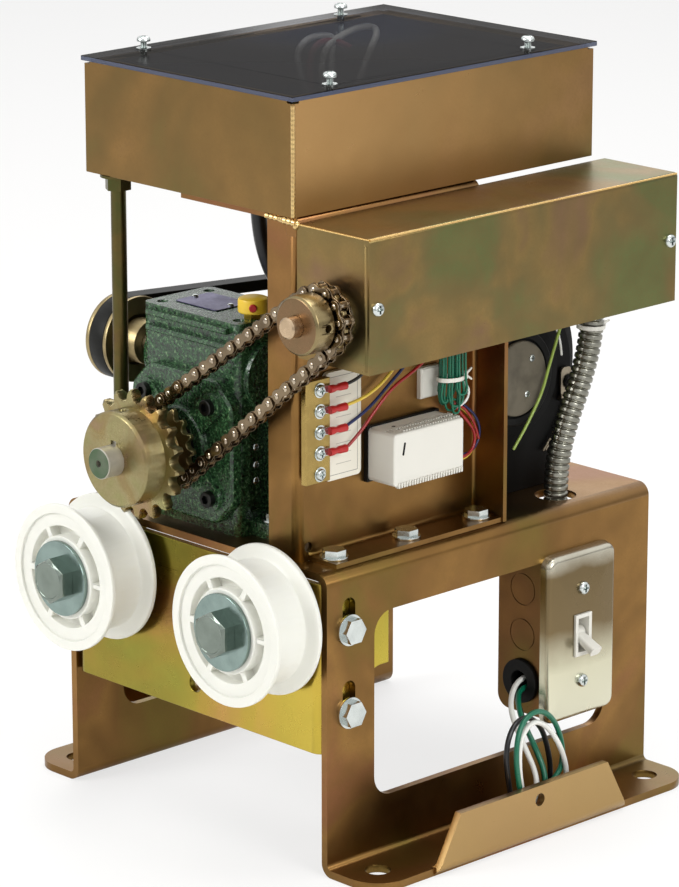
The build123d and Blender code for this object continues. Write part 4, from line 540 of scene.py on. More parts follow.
def dress(finish, rounding, *nodes):
    """Gives CAD nodes their finish and the small rounds of worked edges."""
    for name in nodes:
        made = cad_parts[name]
        for slot in made.material_slots:
            slot.material = finishes[finish]
        if rounding:
            weld = made.modifiers.new("weld", "WELD")
            weld.merge_threshold = 0.002 * MM
            round_edges(made, rounding)


# Cords

CONDUIT = (
    (92.7, 79.5, 160), (92.7, 79.5, 190), (92.9, 81, 212), (93.5, 88, 234), (94.5, 98, 256), (95, 106, 279),
    (95, 109, 302), (95, 109.2, 313.2),
)
SLEEVE = (
    (-31, -58, 395), (-29, -58.5, 372), (-25, -58, 347), (-18, -52, 324), (-9, -34, 304), (-2, -13, 292),
    (1, -0.5, 287),
)
WHITE_TAIL = (
    (98.5, 55, 78.2), (98.5, 42, 77.5), (106, 27, 71), (118, 16, 63), (134, 10.5, 50), (145, 11, 33),
    (148.5, 5.5, 19), (151, -4.5, 18), (153, -11, 30), (153, -14.5, 50), (151.5, -11, 67), (149, 3, 73),
    (147, 19, 63), (146.5, 31, 46), (147, 36, 28), (146, 35, 12),
)
GREEN_TAIL = (
    (100.8, 55, 72.4), (100.8, 41, 72), (108, 31.5, 68.5), (120, 22, 61.5), (137, 16.5, 50), (146.5, 17, 33),
    (149, 13, 18), (153.5, 1, 9.5), (155.5, -10, 17), (155.5, -16.5, 36), (154.5, -19, 58), (152, -12, 75),
    (150, 4, 79.5), (147.5, 20, 71), (144, 32, 55), (142, 37, 39), (144.5, 31, 30), (148, 18, 27),
)
BLACK_TAIL = (
    (95.2, 55, 72.6), (95.2, 42, 71.6), (104, 35.5, 66), (117, 27.5, 57.5), (132, 22, 45.5), (141.5, 22.5, 29.5),
    (144, 15, 13), (145.5, 1, 8.5), (147, -12, 17), (148.5, -18.5, 37), (148.5, -21.5, 58), (147, -14, 72.5),
    (144.5, 1, 75), (142, 16.5, 64), (139.5, 26, 46), (139, 29.5, 28), (139.5, 28, 12),
)
RED_LEAD = (
    (95.5, -102.8, 255.6), (96.5, -94, 262), (98, -82.5, 274.5), (98.5, -69, 286), (98.5, -51, 292.5),
    (98.5, -38, 299.5), (98.5, -33, 313),
)
YELLOW_LEAD = (
    (95.5, -103.2, 281), (97, -93.5, 282.5), (98, -81, 287.5), (97, -68.5, 294.5), (96, -59, 303), (95.5, -56, 313),
)
BLUE_LEAD = (
    (95, -103.2, 268.2), (95, -94, 271.4), (94, -80.5, 277), (93, -66.5, 286), (93, -53.5, 294.5), (93, -46.5, 304),
    (93.5, -44.5, 313),
)
BLACK_LEAD = ((95.5, -103.2, 293.8), (97, -96, 295.5), (98, -89, 301.5), (98, -86.5, 313))
RECEIVER_LEAD = (
    (99.5, -21, 232.5), (99.5, -9, 230.5), (98.5, 0.5, 235), (97.5, 2.5, 244.5), (96.5, -3.5, 252.5), (96, -9, 258),
    (96.2, -12.5, 262.6),
)
GROUND_LEAD = (
    (79, 55.5, 219), (79.5, 64, 229), (79.5, 72.5, 240), (79.5, 80.5, 251.5), (79.5, 86, 266), (80.5, 91, 281),
    (83, 94, 295), (88.5, 93.5, 305), (90.5, 92.5, 313),
)


def smooth_route(name, points):
    """Curve through the air or along a surface with these control points."""
    data = bpy.data.curves.new(name, "CURVE")
    data.dimensions = "3D"
    data.resolution_u = 16
    spline = data.splines.new("NURBS")
    spline.points.add(len(points) - 1)
    for knot, point in zip(spline.points, points):
        knot.co = (*(Vector(point) * MM), 1)
    spline.order_u = 3
    spline.use_endpoint_u = True
    return added(name, data)


def line_of(points, fineness=16):
    """Points read from a route's curve, in millimetres."""
    route = smooth_route("route", points)
    route.data.resolution_u = fineness
    mesh = bpy.data.meshes.new_from_object(route)
    line = [vertex.co / MM for vertex in mesh.vertices]
    bpy.data.meshes.remove(mesh)
    bpy.data.objects.remove(route)
    return line


def distances(line):
    """How far along a line each of its points lies."""
    reached = [0]
    for near, far in zip(line, line[1:]):
        reached.append(reached[-1] + (far - near).length)
    return reached


def cord(name, points, radius, finish, node):
    """Round wire on its route, in place of the CAD node that it hides."""
    made = smooth_route(name, points)
    made.data.bevel_depth = radius * MM
    made.data.bevel_resolution = 4
    made.data.use_fill_caps = True
    made.data.materials.append(finishes[finish])
    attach(made, "operator")
    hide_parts(node)
    length = distances(line_of(points))[-1] * MM


TAIL_RADIUS = 1.7
LEAD_RADIUS = 1
SLEEVE_RADIUS = 5
cord("white_tail", WHITE_TAIL, TAIL_RADIUS, "white_wire", "pigtail_white")
cord("green_tail", GREEN_TAIL, TAIL_RADIUS, "green_wire", "pigtail_green")
cord("black_tail", BLACK_TAIL, TAIL_RADIUS, "black_wire", "pigtail_black")
cord("red_terminal_lead", RED_LEAD, LEAD_RADIUS, "red_wire", "lead_red")
cord("yellow_terminal_lead", YELLOW_LEAD, LEAD_RADIUS, "yellow_wire", "lead_yellow")
cord("blue_terminal_lead", BLUE_LEAD, LEAD_RADIUS, "blue_wire", "lead_blue")
cord("black_terminal_lead", BLACK_LEAD, LEAD_RADIUS, "black_wire", "lead_black")
cord("receiver_wire", RECEIVER_LEAD, LEAD_RADIUS, "red_wire", "receiver_lead")
cord("ground_wire", GROUND_LEAD, LEAD_RADIUS, "pale_green_wire", "ground_lead")
cord("motor_cable", SLEEVE, SLEEVE_RADIUS, "sleeve_black", "black_sleeve")

CONDUIT_RADIUS = 7.6
CONDUIT_PITCH = 4.4
CONDUIT_GROOVE = 1.2
CONDUIT_CREST = 9


def conduit_piece():
    """Flexible steel conduit, ribbed along its route."""
    line = line_of(CONDUIT, 72)
    reached = distances(line)
    radii = [CONDUIT_RADIUS - CONDUIT_GROOVE * abs(cos(pi * d / CONDUIT_PITCH)) ** CONDUIT_CREST for d in reached]
    shape = bmesh.new()
    hose(shape, line, radii, 28)
    made = piece("ribbed_conduit", shape, "conduit_steel", smooth=70, replaces="conduit")


conduit_piece()


# Near side, far side, lowest point and place in X of each fold of the spare wire
FOLDS = (
    (-28.5, -20.5, 267, 97), (-26.5, -15.5, 263, 99.5), (-24.5, -12.5, 265.5, 101.5), (-21.5, -9, 268.5, 98.5),
    (-18.5, -10.5, 272, 102.5), (-29.5, -24.5, 269, 100), (-23, -17, 261.5, 102.5), (-27.5, -13.5, 270, 95.5),
)
STRAND_RADIUS = 0.75
BUNDLE_HEIGHTS = (313, 296, 283)
BUNDLE_SPREAD = 274
BUNDLE_MIDDLE = -20
BUNDLE_PINCH = 0.8
STRAND_LEAN = 0.8
BUNDLE_TIE = (99, -20.5, 282.5)
BUNDLE_REACH = 9.2
CONDUIT_TIE = (94.9, 107.2, 291.5)
CONDUIT_TIE_REACH = 8.1
TIE_BAND = 1.3
TIE_THICKNESS = 0.9
TIE_HEAD = 2.2
TIE_HEAD_DEPTH = 3.4
TIE_TAIL = (1.1, 0.8)


def folded_strand(near, far, low, out):
    """Route of one fold: down, round a loop and up again."""
    half = (far - near) / 2
    pinch = [BUNDLE_MIDDLE + (y - BUNDLE_MIDDLE) * BUNDLE_PINCH for y in (near, far)]
    top, _, neck = BUNDLE_HEIGHTS
    down = [(out, pinch[0], height) for height in BUNDLE_HEIGHTS] + [(out, near, BUNDLE_SPREAD)]
    loop = [(out + 0.6, near, low + half), (out + 1, near + half * 0.3, low), (out + 1, far - half * 0.3, low)]
    up = [(out + 0.6, far, low + half), (out + STRAND_LEAN, far, BUNDLE_SPREAD + 1)]
    return line_of(down + loop + up + [(out + STRAND_LEAN, pinch[1], height) for height in (neck, top)])


def tie(name, place, reach, flat, tails):
    """Tie band round a bundle, with its head and cut tails."""
    shape = bmesh.new()
    x, y, z = place
    spot = facing(place, (0, 0.05, 1)) @ Matrix.Diagonal((*flat, 1, 1))
    outer = reach + TIE_THICKNESS
    turned(shape, spot, [(reach, -TIE_BAND), (outer, -TIE_BAND), (outer, TIE_BAND), (reach, TIE_BAND)], closed=True)
    side = y + reach
    brick(shape, (x - TIE_HEAD, side, z - TIE_HEAD), (x + TIE_HEAD, side + TIE_HEAD_DEPTH, z + TIE_HEAD))
    for end in tails:
        hose(shape, [Vector((x, side + 3, z)), Vector((x, *end))], TIE_TAIL, 4)
    piece(name, shape, "white_plastic", rounding=0.15)


def spare_wire():
    """Spare green wire folded to and fro, and the ties of bundle and conduit."""
    shape = bmesh.new()
    for fold in FOLDS:
        wire(shape, folded_strand(*fold), STRAND_RADIUS)
    piece("spare_wire", shape, "green_wire", smooth=60, replaces="wire_hank")
    tie("bundle_tie", BUNDLE_TIE, BUNDLE_REACH, (0.62, 1), ((-2.6, 285.8), (-2.5, 278.6)))
    tie("conduit_tie", CONDUIT_TIE, CONDUIT_TIE_REACH, (1, 1), ((124, 292.5),))


spare_wire()

# Thin wires between the receiver and the bundle: piece, finish, points
LOOPS = (
    ("blue_loop", "blue_wire", (
        (99, -21, 234.5), (98.5, -8, 231.5), (97.5, 3, 234.5), (96.5, 8.5, 243.5), (96, 4.5, 254),
        (96, -5, 262), (96.2, -13, 267),
    )),
    ("yellow_loop", "yellow_wire", (
        (98.5, -21, 230.5), (98, -9, 228.8), (97, 1, 232.5), (95.5, 5.5, 242), (95, 1.5, 253.5),
        (95, -6, 260), (95.5, -12.5, 264.5),
    )),
    ("white_loop", "white_wire", ((98, -10, 279), (98, -4.5, 275), (98, -3.5, 268.5), (98, -8, 264), (98, -14, 263))),
    ("red_loop", "red_wire", ((97, -16, 266), (98, -10, 263.5), (98.5, -3, 256), (99, 2, 247), (99, 4, 240))),
)
LOOP_RADIUS = 0.8


def thin_wires(rows, radius):
    """Short wires along their routes."""
    for name, finish, points in rows:
        shape = bmesh.new()
        wire(shape, line_of(points), radius)
        piece(name, shape, finish, smooth=60)


thin_wires(LOOPS, LOOP_RADIUS)


# Limit chain

CHAIN_PITCH = 9.525
DRIVE_TEETH = 16
LIMIT_TEETH = 12
RUN_LINKS = 18
CHAIN_ANGLE = radians(37)
CHAIN_Y = -146
OUTPUT_AXIS = Vector((-18, 240.5))
CHAIN_PIN = 1.79
CHAIN_ROLLER = 2.54
INNER_PLATE = (2.4, 3.6, 8.6)
OUTER_PLATE = (3.75, 4.95, 7.8)
PIN_END = 5.5
ROLLER_HALF = 2.35


def chain_joints():
    """Roller centres of the closed chain in X and Z."""
    drive = CHAIN_PITCH / (2 * sin(pi / DRIVE_TEETH))
    limit = CHAIN_PITCH / (2 * sin(pi / LIMIT_TEETH))
    span = sqrt((RUN_LINKS * CHAIN_PITCH) ** 2 - (drive - limit) ** 2)
    limit_axis = OUTPUT_AXIS + Vector((cos(CHAIN_ANGLE), sin(CHAIN_ANGLE))) * span
    joints = []
    for middle, radius, teeth, start in (
        (OUTPUT_AXIS, drive, DRIVE_TEETH, CHAIN_ANGLE + pi / 2),
        (limit_axis, limit, LIMIT_TEETH, CHAIN_ANGLE - pi / 2),
    ):
        for k in range(teeth // 2 + 1):
            angle = start + 2 * pi * k / teeth
            joints.append(middle + Vector((cos(angle), sin(angle))) * radius)
    half = DRIVE_TEETH // 2 + 1
    down = [joints[half - 1].lerp(joints[half], k / RUN_LINKS) for k in range(1, RUN_LINKS)]
    up = [joints[-1].lerp(joints[0], k / RUN_LINKS) for k in range(1, RUN_LINKS)]
    return joints[:half] + down + joints[half:] + up


def link_outline(height):
    """Figure eight of a chain plate."""
    outline = []
    for side in (1, -1):
        for k in range(9):
            angle = radians(28 * k - 112)
            outline.append(Vector((CHAIN_PITCH / 2 + height / 2 * cos(angle), height / 2 * sin(angle))) * side)
        outline.append(Vector((0, height * 0.34)) * side)
    return outline


def chain_pieces():
    """Plates, pins and rollers of the limit chain."""
    joints = chain_joints()
    plates, pins, rollers = bmesh.new(), bmesh.new(), bmesh.new()
    for k, joint in enumerate(joints):
        after = joints[(k + 1) % len(joints)]
        middle = (joint + after) / 2
        turn = Matrix.Rotation(-atan2(after.y - joint.y, after.x - joint.x), 4, "Y")
        link = Matrix.Translation((middle.x, CHAIN_Y, middle.y)) @ turn @ Matrix.Rotation(pi / 2, 4, "X")
        near, far, height = INNER_PLATE if k % 2 else OUTER_PLATE
        for low, high in ((near, far), (-far, -near)):
            slab(plates, link, link_outline(height), low, high)
        axle = facing((joint.x, CHAIN_Y, joint.y), FRONT)
        head = [(0, -PIN_END), (CHAIN_PIN * 0.7, -PIN_END), (CHAIN_PIN, -PIN_END + 0.35)]
        turned(pins, axle, head + [(radius, -height) for radius, height in head[::-1]], sides=12)
        turned(rollers, axle, [(CHAIN_ROLLER, -ROLLER_HALF), (CHAIN_ROLLER, ROLLER_HALF)], sides=16)
    piece("chain_plates", plates, "chain_steel", rounding=0.25, replaces="limit_chain")
    piece("chain_pins", pins, "pin_steel", smooth=50)
    piece("chain_rollers", rollers, "pin_steel")


chain_pieces()


# Screws and roller bolts

LID_TOP = 467.5
LID_SCREWS = [(x, y) for x in (-88.5, 74.5) for y in (-97, 69)]
LID_SCREW_RISE = 5
PAN_RADIUS = 4.2
PAN_HEIGHT = 2.8
SHANK = 2.1
THREADS = [point for k in range(8) for point in ((SHANK, k * 0.6 + 0.1), (SHANK * 0.82, k * 0.6 + 0.4))]
LID_SHANK = [(SHANK, -14), *THREADS, (SHANK, LID_SCREW_RISE)]
LID_RING = [(SHANK, 0), (4.6, 0), (4.6, 1), (SHANK, 1)]
COVER_SCREWS = [(146.4, y, 352) for y in (-128.8, 120.2)]
SWITCH_SCREWS = [(123.1, 73, z) for z in (75.335, 135.665)]
CAP_FACE = -136
CAP_PLACES = [(-18 + x, 240.5 + z) for x in (-28.5, 28.5) for z in (-28.5, 28.5)]
CAP_RADIUS = 5
CAP_HEIGHT = 4
CAP_PROFILE = [(0, 0), (CAP_RADIUS, 0), (CAP_RADIUS, CAP_HEIGHT - 0.5), (CAP_RADIUS - 0.5, CAP_HEIGHT)]
SOCKET_RADIUS = 2.9
SOCKET_FLOOR = CAP_HEIGHT - 2.6


def screw_pieces():
    """Cross recessed screws, those of the lid on shanks with rings, and socket caps."""
    heads, sockets = bmesh.new(), bmesh.new()
    for x, y in LID_SCREWS:
        spot = facing((x, y, LID_TOP), UP)
        cross_head(heads, facing((x, y, LID_TOP + LID_SCREW_RISE), UP), PAN_RADIUS, PAN_HEIGHT)
        turned(heads, spot, LID_SHANK, sides=16)
        turned(heads, spot, LID_RING, sides=24)
    for place in COVER_SCREWS + SWITCH_SCREWS:
        cross_head(heads, facing(place, RIGHT), PAN_RADIUS, PAN_HEIGHT)
    hexagon = six_sides(SOCKET_RADIUS)
    for x, z in CAP_PLACES:
        place = facing((x, CAP_FACE, z), FRONT)
        rings = turned(sockets, place, CAP_PROFILE, 24)
        cap(sockets, place, rings, ((hexagon, CAP_HEIGHT), (hexagon, SOCKET_FLOOR)))
    piece("cross_screws", heads, "zinc", smooth=40, replaces="machine_screws")
    piece("socket_screws", sockets, "socket_steel", smooth=40)


screw_pieces()


AXLE_PLACES = [(x, -185, 153.5) for x in (-73, 73)]
AXLE_FLATS = 25
AXLE_HEAD = 9.5
AXLE_RADIUS = 9.5
AXLE_LENGTH = 73.5
AXLE_SHANK = [(0, -AXLE_LENGTH), (AXLE_RADIUS, -AXLE_LENGTH), (AXLE_RADIUS, 0)]
# Radius as a share of the flats, and depth under the top, of the turned face
AXLE_FACE = ((0.48, 0), (0.43, 0), (0.42, 0.3))


def axle_bolts():
    """Hex bolts of the two gate rollers, their heads turned off to a round face."""
    shape = bmesh.new()
    turn = pi / 6
    hexagon = six_sides(AXLE_FLATS / sqrt(3), turn)
    layers = [(hexagon, 0), (hexagon, AXLE_HEAD * 0.84)]
    layers += [(circle(AXLE_FLATS * share, 24, turn), AXLE_HEAD - sunk) for share, sunk in AXLE_FACE]
    for middle in AXLE_PLACES:
        place = facing(middle, FRONT)
        cap(shape, place, turned(shape, place, AXLE_SHANK, sides=24, start=turn), layers)
    piece("axle_bolts", shape, "bolt_zinc", rounding=0.25, smooth=25, replaces="roller_bolts")


axle_bolts()


# Switch cover

COVER_MIDDLE = (116.3, 73, 105.5)
COVER_SIZE = (62.2, 109.2)
COVER_CORNER = 7.6
COVER_RISE = 6.8
COVER_PROFILE = ((0, 0), (0.5, 2.6), (0.9, 4.3), (1.6, 5.6), (2.7, 6.45), (4.2, COVER_RISE))
TOGGLE_SLOT = (14.9, 27.4, 0.4)


def steel_switch_cover():
    """Raised switch cover with rounded corners and edges, and the slot of the toggle."""
    shape = bmesh.new()
    place = facing(COVER_MIDDLE, RIGHT)
    layers = []
    for inset, height in COVER_PROFILE:
        width, length = (size - 2 * inset for size in COVER_SIZE)
        layers.append((rounded(width, length, COVER_CORNER - inset), height))
    layers += [(rounded(*TOGGLE_SLOT), height) for height in (COVER_RISE, 0)]
    rings = [ring(shape, place, *layer) for layer in layers]
    for low, high in zip(rings, rings[1:] + rings[:1]):
        lace(shape, low, high)
    piece("steel_switch_cover", shape, "cover_steel", smooth=50, replaces="switch_cover")


steel_switch_cover()


# Terminals

TOWER_FACE = 86.5
STRIP_BACK = TOWER_FACE + 2.4
STRIP_FACE = STRIP_BACK + 4.4
STRIP_Y = (-134.6, -115)
STRIP_Z = (236.6, 299.6)
BOARD_Y = (-115.4, -86.4)
BOARD_Z = (234.6, 301)
SCREW_HEIGHTS = [242 + 12.75 * k for k in range(5)]
TERMINAL_Y = -123.5
BOARD_THICKNESS = (0.2, 3.4)
BOARD_CORNER = 3
TERMINAL_HEAD = (3.6, 1.9)
SCREW_WASHER = [(0, 0), (4.5, 0), (4.5, 0.5), (0, 0.5)]
LUG_START = TERMINAL_Y + 4.6
LUG_AXIS = 95.5
LUG_HALF = 2.3
LUG_PROFILE = (
    (0, 1.2), (2.3, 1.2), (2.45, 2), (2.3, 4.5), (1.75, 6.2), (1.8, 7.6), (2.3, 9), (2.45, 14.4), (1.3, 15),
    (0, 15),
)


def terminal_pieces():
    """Plated strip, its five screws with washers, and four crimped lugs."""
    strip, screws, sleeves, tongues, board = (bmesh.new() for _ in range(5))
    plan = facing((TOWER_FACE, sum(BOARD_Y) / 2, sum(BOARD_Z) / 2), RIGHT)
    slab(board, plan, rounded(BOARD_Y[1] - BOARD_Y[0], BOARD_Z[1] - BOARD_Z[0], BOARD_CORNER), *BOARD_THICKNESS)
    brick(strip, (STRIP_BACK, STRIP_Y[0], STRIP_Z[0]), (STRIP_FACE, STRIP_Y[1], STRIP_Z[1]))
    for height in SCREW_HEIGHTS:
        turned(screws, facing((STRIP_FACE, TERMINAL_Y, height), RIGHT), SCREW_WASHER, sides=24)
        cross_head(screws, facing((STRIP_FACE + 0.5, TERMINAL_Y, height), RIGHT), *TERMINAL_HEAD)
    for height in SCREW_HEIGHTS[1:]:
        low, high = height - LUG_HALF, height + LUG_HALF
        brick(tongues, (STRIP_FACE, LUG_START - 1.4, low), (STRIP_FACE + 0.8, LUG_START + 3, high))
        turned(sleeves, facing((LUG_AXIS, LUG_START, height), (0, 1, 0)), LUG_PROFILE, sides=20)
    piece("terminal_label", board, "label_white", rounding=0.3, replaces="terminal_board")
    piece("terminal_plate", strip, "terminal_brass", rounding=0.5, replaces="terminal_strip")
    piece("terminal_screws", screws, "zinc", smooth=40)
    piece("lug_sleeves", sleeves, "red_plastic", smooth=50)
    piece("lug_tongues", tongues, "zinc", rounding=0.2)


terminal_pieces()


# Gearbox fittings

GEAR_TOP = 320
BREATHER = (18, -106)
STEM_PROFILE = ((0, 0), (6, 0), (6, 4.2), (0, 4.2))
CAP_TURN = ((0, 4), (9, 4), (9.5, 4.6), (9.5, 11.2), (9, 12.4), (7.6, 13), (0, 13))
PIN_PLACE = (24.4, -112.4, 328.3)
PIN_PROFILE = ((0, -1), (2.4, -1), (2.4, 1.4), (1.9, 2), (0, 2))
PLATE_MIDDLE = (-28, -97)
PLATE_SIZE = (38, 29, 2.5)
PLATE_PIN_REACH = 16
PLATE_PIN = ((0, 0), (2.1, 0), (2.1, 0.9), (1.3, 1.5), (0, 1.5))
PLUG_HEAD = (2.4, 1.6)
PLUGS = [(25, -112, height) for height in (242.6, 231.6, 221.8)]


def gearbox_fittings():
    """Breather with its pin, bare plate with two pins, and side plugs."""
    lid, stem, pin, plate, pins = (bmesh.new() for _ in range(5))
    spot = facing((*BREATHER, GEAR_TOP), UP)
    turned(stem, spot, STEM_PROFILE, sides=6)
    turned(lid, spot, CAP_TURN, sides=40)
    turned(pin, facing(PIN_PLACE, (1, -1, 0)), PIN_PROFILE, sides=20)
    x, y = PLATE_MIDDLE
    slab(plate, Matrix.Translation((x, y, GEAR_TOP)), rounded(*PLATE_SIZE), 0.05, 0.7)
    for side in (-PLATE_PIN_REACH, PLATE_PIN_REACH):
        turned(pins, facing((x + side, y, GEAR_TOP + 0.6), UP), PLATE_PIN, sides=16)
    for place in PLUGS:
        cross_head(pins, facing(place, RIGHT), *PLUG_HEAD)
    piece("breather_cap", lid, "yellow_plastic", replaces="breather")
    piece("breather_stem", stem, "brass_gold", rounding=0.3)
    piece("breather_pin", pin, "red_plastic")
    piece("bare_plate", plate, "plate_blue", rounding=0.2)
    piece("small_fixings", pins, "zinc")


gearbox_fittings()


# Motor fittings

MOTOR_AXIS = (64, 262)
MOTOR_END = 76
END_HEAD = (2.4, 1.3)
END_SCREWS = ((74.4, 273.4), (70.3, 251.1))
CLAMP_EAR = (71.4, 108.8, 251.5)
CLAMP_EAR_SIZE = (9.5, 19, 3)
CLAMP_FOOT = ((71.4, 103, 240), (75, 107.5, 243.5))
STRAP_START = (73, 110.5, 240.5)
STRAP_FALL = (0, -21.5, -30)
STRAP_BOW = 2.6
STRAP_SIDES = (-0.6, 1.6)
STRAP_RADIUS = 0.9
PAD_PLACE = (73.2, 110.6, 251.6)
PAD_PROFILE = ((0, 0), (4.6, 0), (4.6, 1.2), (3.6, 2.2), (0, 2.2))
RING_X = 72.8
RING_PROFILE = ((25, 0), (30.5, 0), (30.5, 1.2), (29.5, 2), (25.5, 2))
MOTOR_WIRE_RADIUS = 0.7
MOTOR_WIRE = ((80, 86, 298), (80.5, 91, 291), (80.5, 95, 283), (80, 97, 272))


def motor_fittings():
    """Two screws in the end plate, and the clamp of the far mounting ring."""
    screws, clamp, pad, thin = (bmesh.new() for _ in range(4))
    for y, z in END_SCREWS:
        cross_head(screws, facing((MOTOR_END - 0.4, y, z), RIGHT), *END_HEAD)
    slab(clamp, facing(CLAMP_EAR, RIGHT), rounded(*CLAMP_EAR_SIZE), 0, 2)
    brick(clamp, *CLAMP_FOOT)
    start, fall = Vector(STRAP_START), Vector(STRAP_FALL)
    strap = [start + fall * (k / 8) + Vector((0, STRAP_BOW * sin(pi * k / 8), 0)) for k in range(9)]
    for side in STRAP_SIDES:
        wire(clamp, [point + Vector((0, side, 0)) for point in strap], STRAP_RADIUS)
    turned(pad, facing(PAD_PLACE, RIGHT), PAD_PROFILE, sides=24)
    turned(pad, facing((RING_X, *MOTOR_AXIS), RIGHT), RING_PROFILE, sides=64, closed=True)
    wire(thin, line_of(MOTOR_WIRE), MOTOR_WIRE_RADIUS)
    piece("end_screws", screws, "zinc", smooth=40)
    piece("ring_clamp", clamp, "clamp_steel", rounding=0.3)
    piece("mounting_rubber", pad, "rubber")
    piece("thin_motor_wire", thin, "white_wire")


motor_fittings()


# Weld beads, and painted highlights along bent edges

# Start, end, steps, radius, ripple, steps of one ripple, and what the second half adds
BEADS = (
    ((84.5, -136, 397), (84.5, -136, 462.5), 130, 1.4, 0.04, 5.5, 0),
    ((60.5, -135.2, 394.2), (86.5, -135.2, 393.4), 48, 1.6, 0.22, 7, 0.6),
)
LUMP_PLACE = (85.6, -134.4, 391.2)
LUMP_PROFILE = ((0, -2), (1.6, -1.6), (2.3, 0), (2.4, 1.6), (1.4, 3.2), (0, 3.6))
GUSSET = ((78, -135.4, 385), (86.4, -134, 396.8))
SEAM = ((87.2, -134.95, 389), (145, -133.4, 392.6))
# Bent edges of the limit cover, each carrying a rounded line of painted highlight
BENT_EDGES = (
    ((87.6, -134.6, 392.9), (145.8, -134.6, 392.9)),
    ((146, -134.4, 392.9), (146, 126, 392.9)),
)
BENT_RADIUS = 0.6


def weld_beads():
    """Rippled beads up the corner of the control box and along the tower, and the filled corner."""
    shape, gusset = bmesh.new(), bmesh.new()
    for start, end, steps, radius, ripple, wave, swell in BEADS:
        line = [Vector(start).lerp(Vector(end), k / steps) for k in range(steps + 1)]
        radii = [radius + ripple * sin(2 * pi * k / wave) + swell * (k > steps / 2) for k in range(steps + 1)]
        hose(shape, line, radii, 10)
    turned(shape, facing(LUMP_PLACE, UP), LUMP_PROFILE, sides=16)
    brick(gusset, *GUSSET)
    piece("weld_beads", shape, "weld_gold", smooth=60)
    piece("corner_gusset", gusset, "base_gold", rounding=0.4)


weld_beads()


def cover_edges():
    """Closed seam of the limit cover, and bright lines of painted highlight along its bent edges."""
    seam, highlight_lines = bmesh.new(), bmesh.new()
    brick(seam, *SEAM)
    for ends in BENT_EDGES:
        wire(highlight_lines, [Vector(point) for point in ends], BENT_RADIUS, 10)
    piece("cover_seam", seam, "cover_gold", rounding=0.2)
    # Painted highlight: bright lines along the bent edges
    piece("cover_edges", highlight_lines, "edge_highlight_gold", smooth=60)


cover_edges()


# Receiver marks and lid wires

# The slot and the hole are flat dark marks: painted shade where the recesses would be
SLOT_PLACE = (111.5, -72, 251)
SLOT_LEAN = -0.2
SLOT_SIZE = (1.5, 8, 0.6)
MARK_DEPTH = 0.12
HOLE_PLACE = (97.5, -66.7, 261)
HOLE_PROFILE = ((0, 0), (1.4, 0), (1.4, MARK_DEPTH), (0, MARK_DEPTH))
RECEIVER_BACK = ((86.6, -80.9, 227.6), (89.4, -20.6, 261.9))
RIDGE_COUNT = 25
RIDGE_START = -77
RIDGE_PITCH = 2.2
# Low and high corner in X and Z of each row of ridges, a ridge's width, and the first one made
RIDGE_ROWS = (
    ((109.2, 227.5), (112.4, 230.8), 1.2, 0),
    ((105.6, 259.4), (109.6, 261.9), 1.1, 3),
    ((99.6, 259.9), (103.6, 261.9), 1.1, 3),
)


def receiver_marks():
    """Small slot and hole of the receiver case drawn as flat dark marks, painted shade of their recesses, and its
    dark back.
    """
    shape = bmesh.new()
    lean = facing(SLOT_PLACE, RIGHT) @ Matrix.Rotation(SLOT_LEAN, 4, "Z")
    slab(shape, lean, rounded(*SLOT_SIZE), 0, MARK_DEPTH)
    turned(shape, facing(HOLE_PLACE, UP), HOLE_PROFILE, sides=20)
    brick(shape, *RECEIVER_BACK)
    piece("receiver_marks", shape, "rubber")


receiver_marks()


def receiver_ridges():
    """Rows of small vent ridges along the top and bottom edges of the receiver case."""
    shape = bmesh.new()
    for k in range(RIDGE_COUNT):
        y = RIDGE_START + RIDGE_PITCH * k
        for (near, low), (far, high), width, first in RIDGE_ROWS:
            if k >= first:
                brick(shape, (near, y, low), (far, y + width, high))
    piece("receiver_ridges", shape, "white_plastic", rounding=0.25)


receiver_ridges()

# Wiring that shows faintly through the lid: piece, finish, points
BOX_WIRES = (
    ("box_wire_white", "white_wire", (
        (-20, -20, 430), (-54, -5.5, 452), (-88, 38, 458), (-90, 66, 456), (-68, 40, 448), (-12.5, -10.4, 436),
    )),
    ("box_wire_grey", "nut_plastic", (
        (-30, 0, 430), (-66, 24, 452), (-90, 84, 459), (-84, 100, 457), (-50, 56, 450), (0.3, -6.7, 436),
    )),
    ("box_wire_red", "red_wire", ((-30, -10, 430), (-58, 8, 452), (-84, 54, 458), (-70, 60, 450))),
    ("box_wire_orange", "yellow_wire", ((10, -115, 430), (40, -95, 452), (62, -70, 455), (76, -50, 438))),
)
BOX_WIRE_RADIUS = 2.2
thin_wires(BOX_WIRES, BOX_WIRE_RADIUS)


# Floor and light: each lamp has a place, a size in metres and a power

FLOOR_REACH = 15
FLOOR_DROP = -0.0002
FLOOR_WHITE = 0.7
WORLD_GLOW = {"From Min": 0, "From Max": 0.28, "To Min": 0.17, "To Max": 1.1}
AIM = Vector((0, 0, 240))
LAMPS = (
    ("key", (-900, -2200, 1500), 1.1, 37),
    ("side", (2300, -300, 1300), 1, 28),
    ("top", (100, 200, 2100), 1.2, 26),
    ("rear", (-1400, 1600, 2050), 1.2, 16),
)


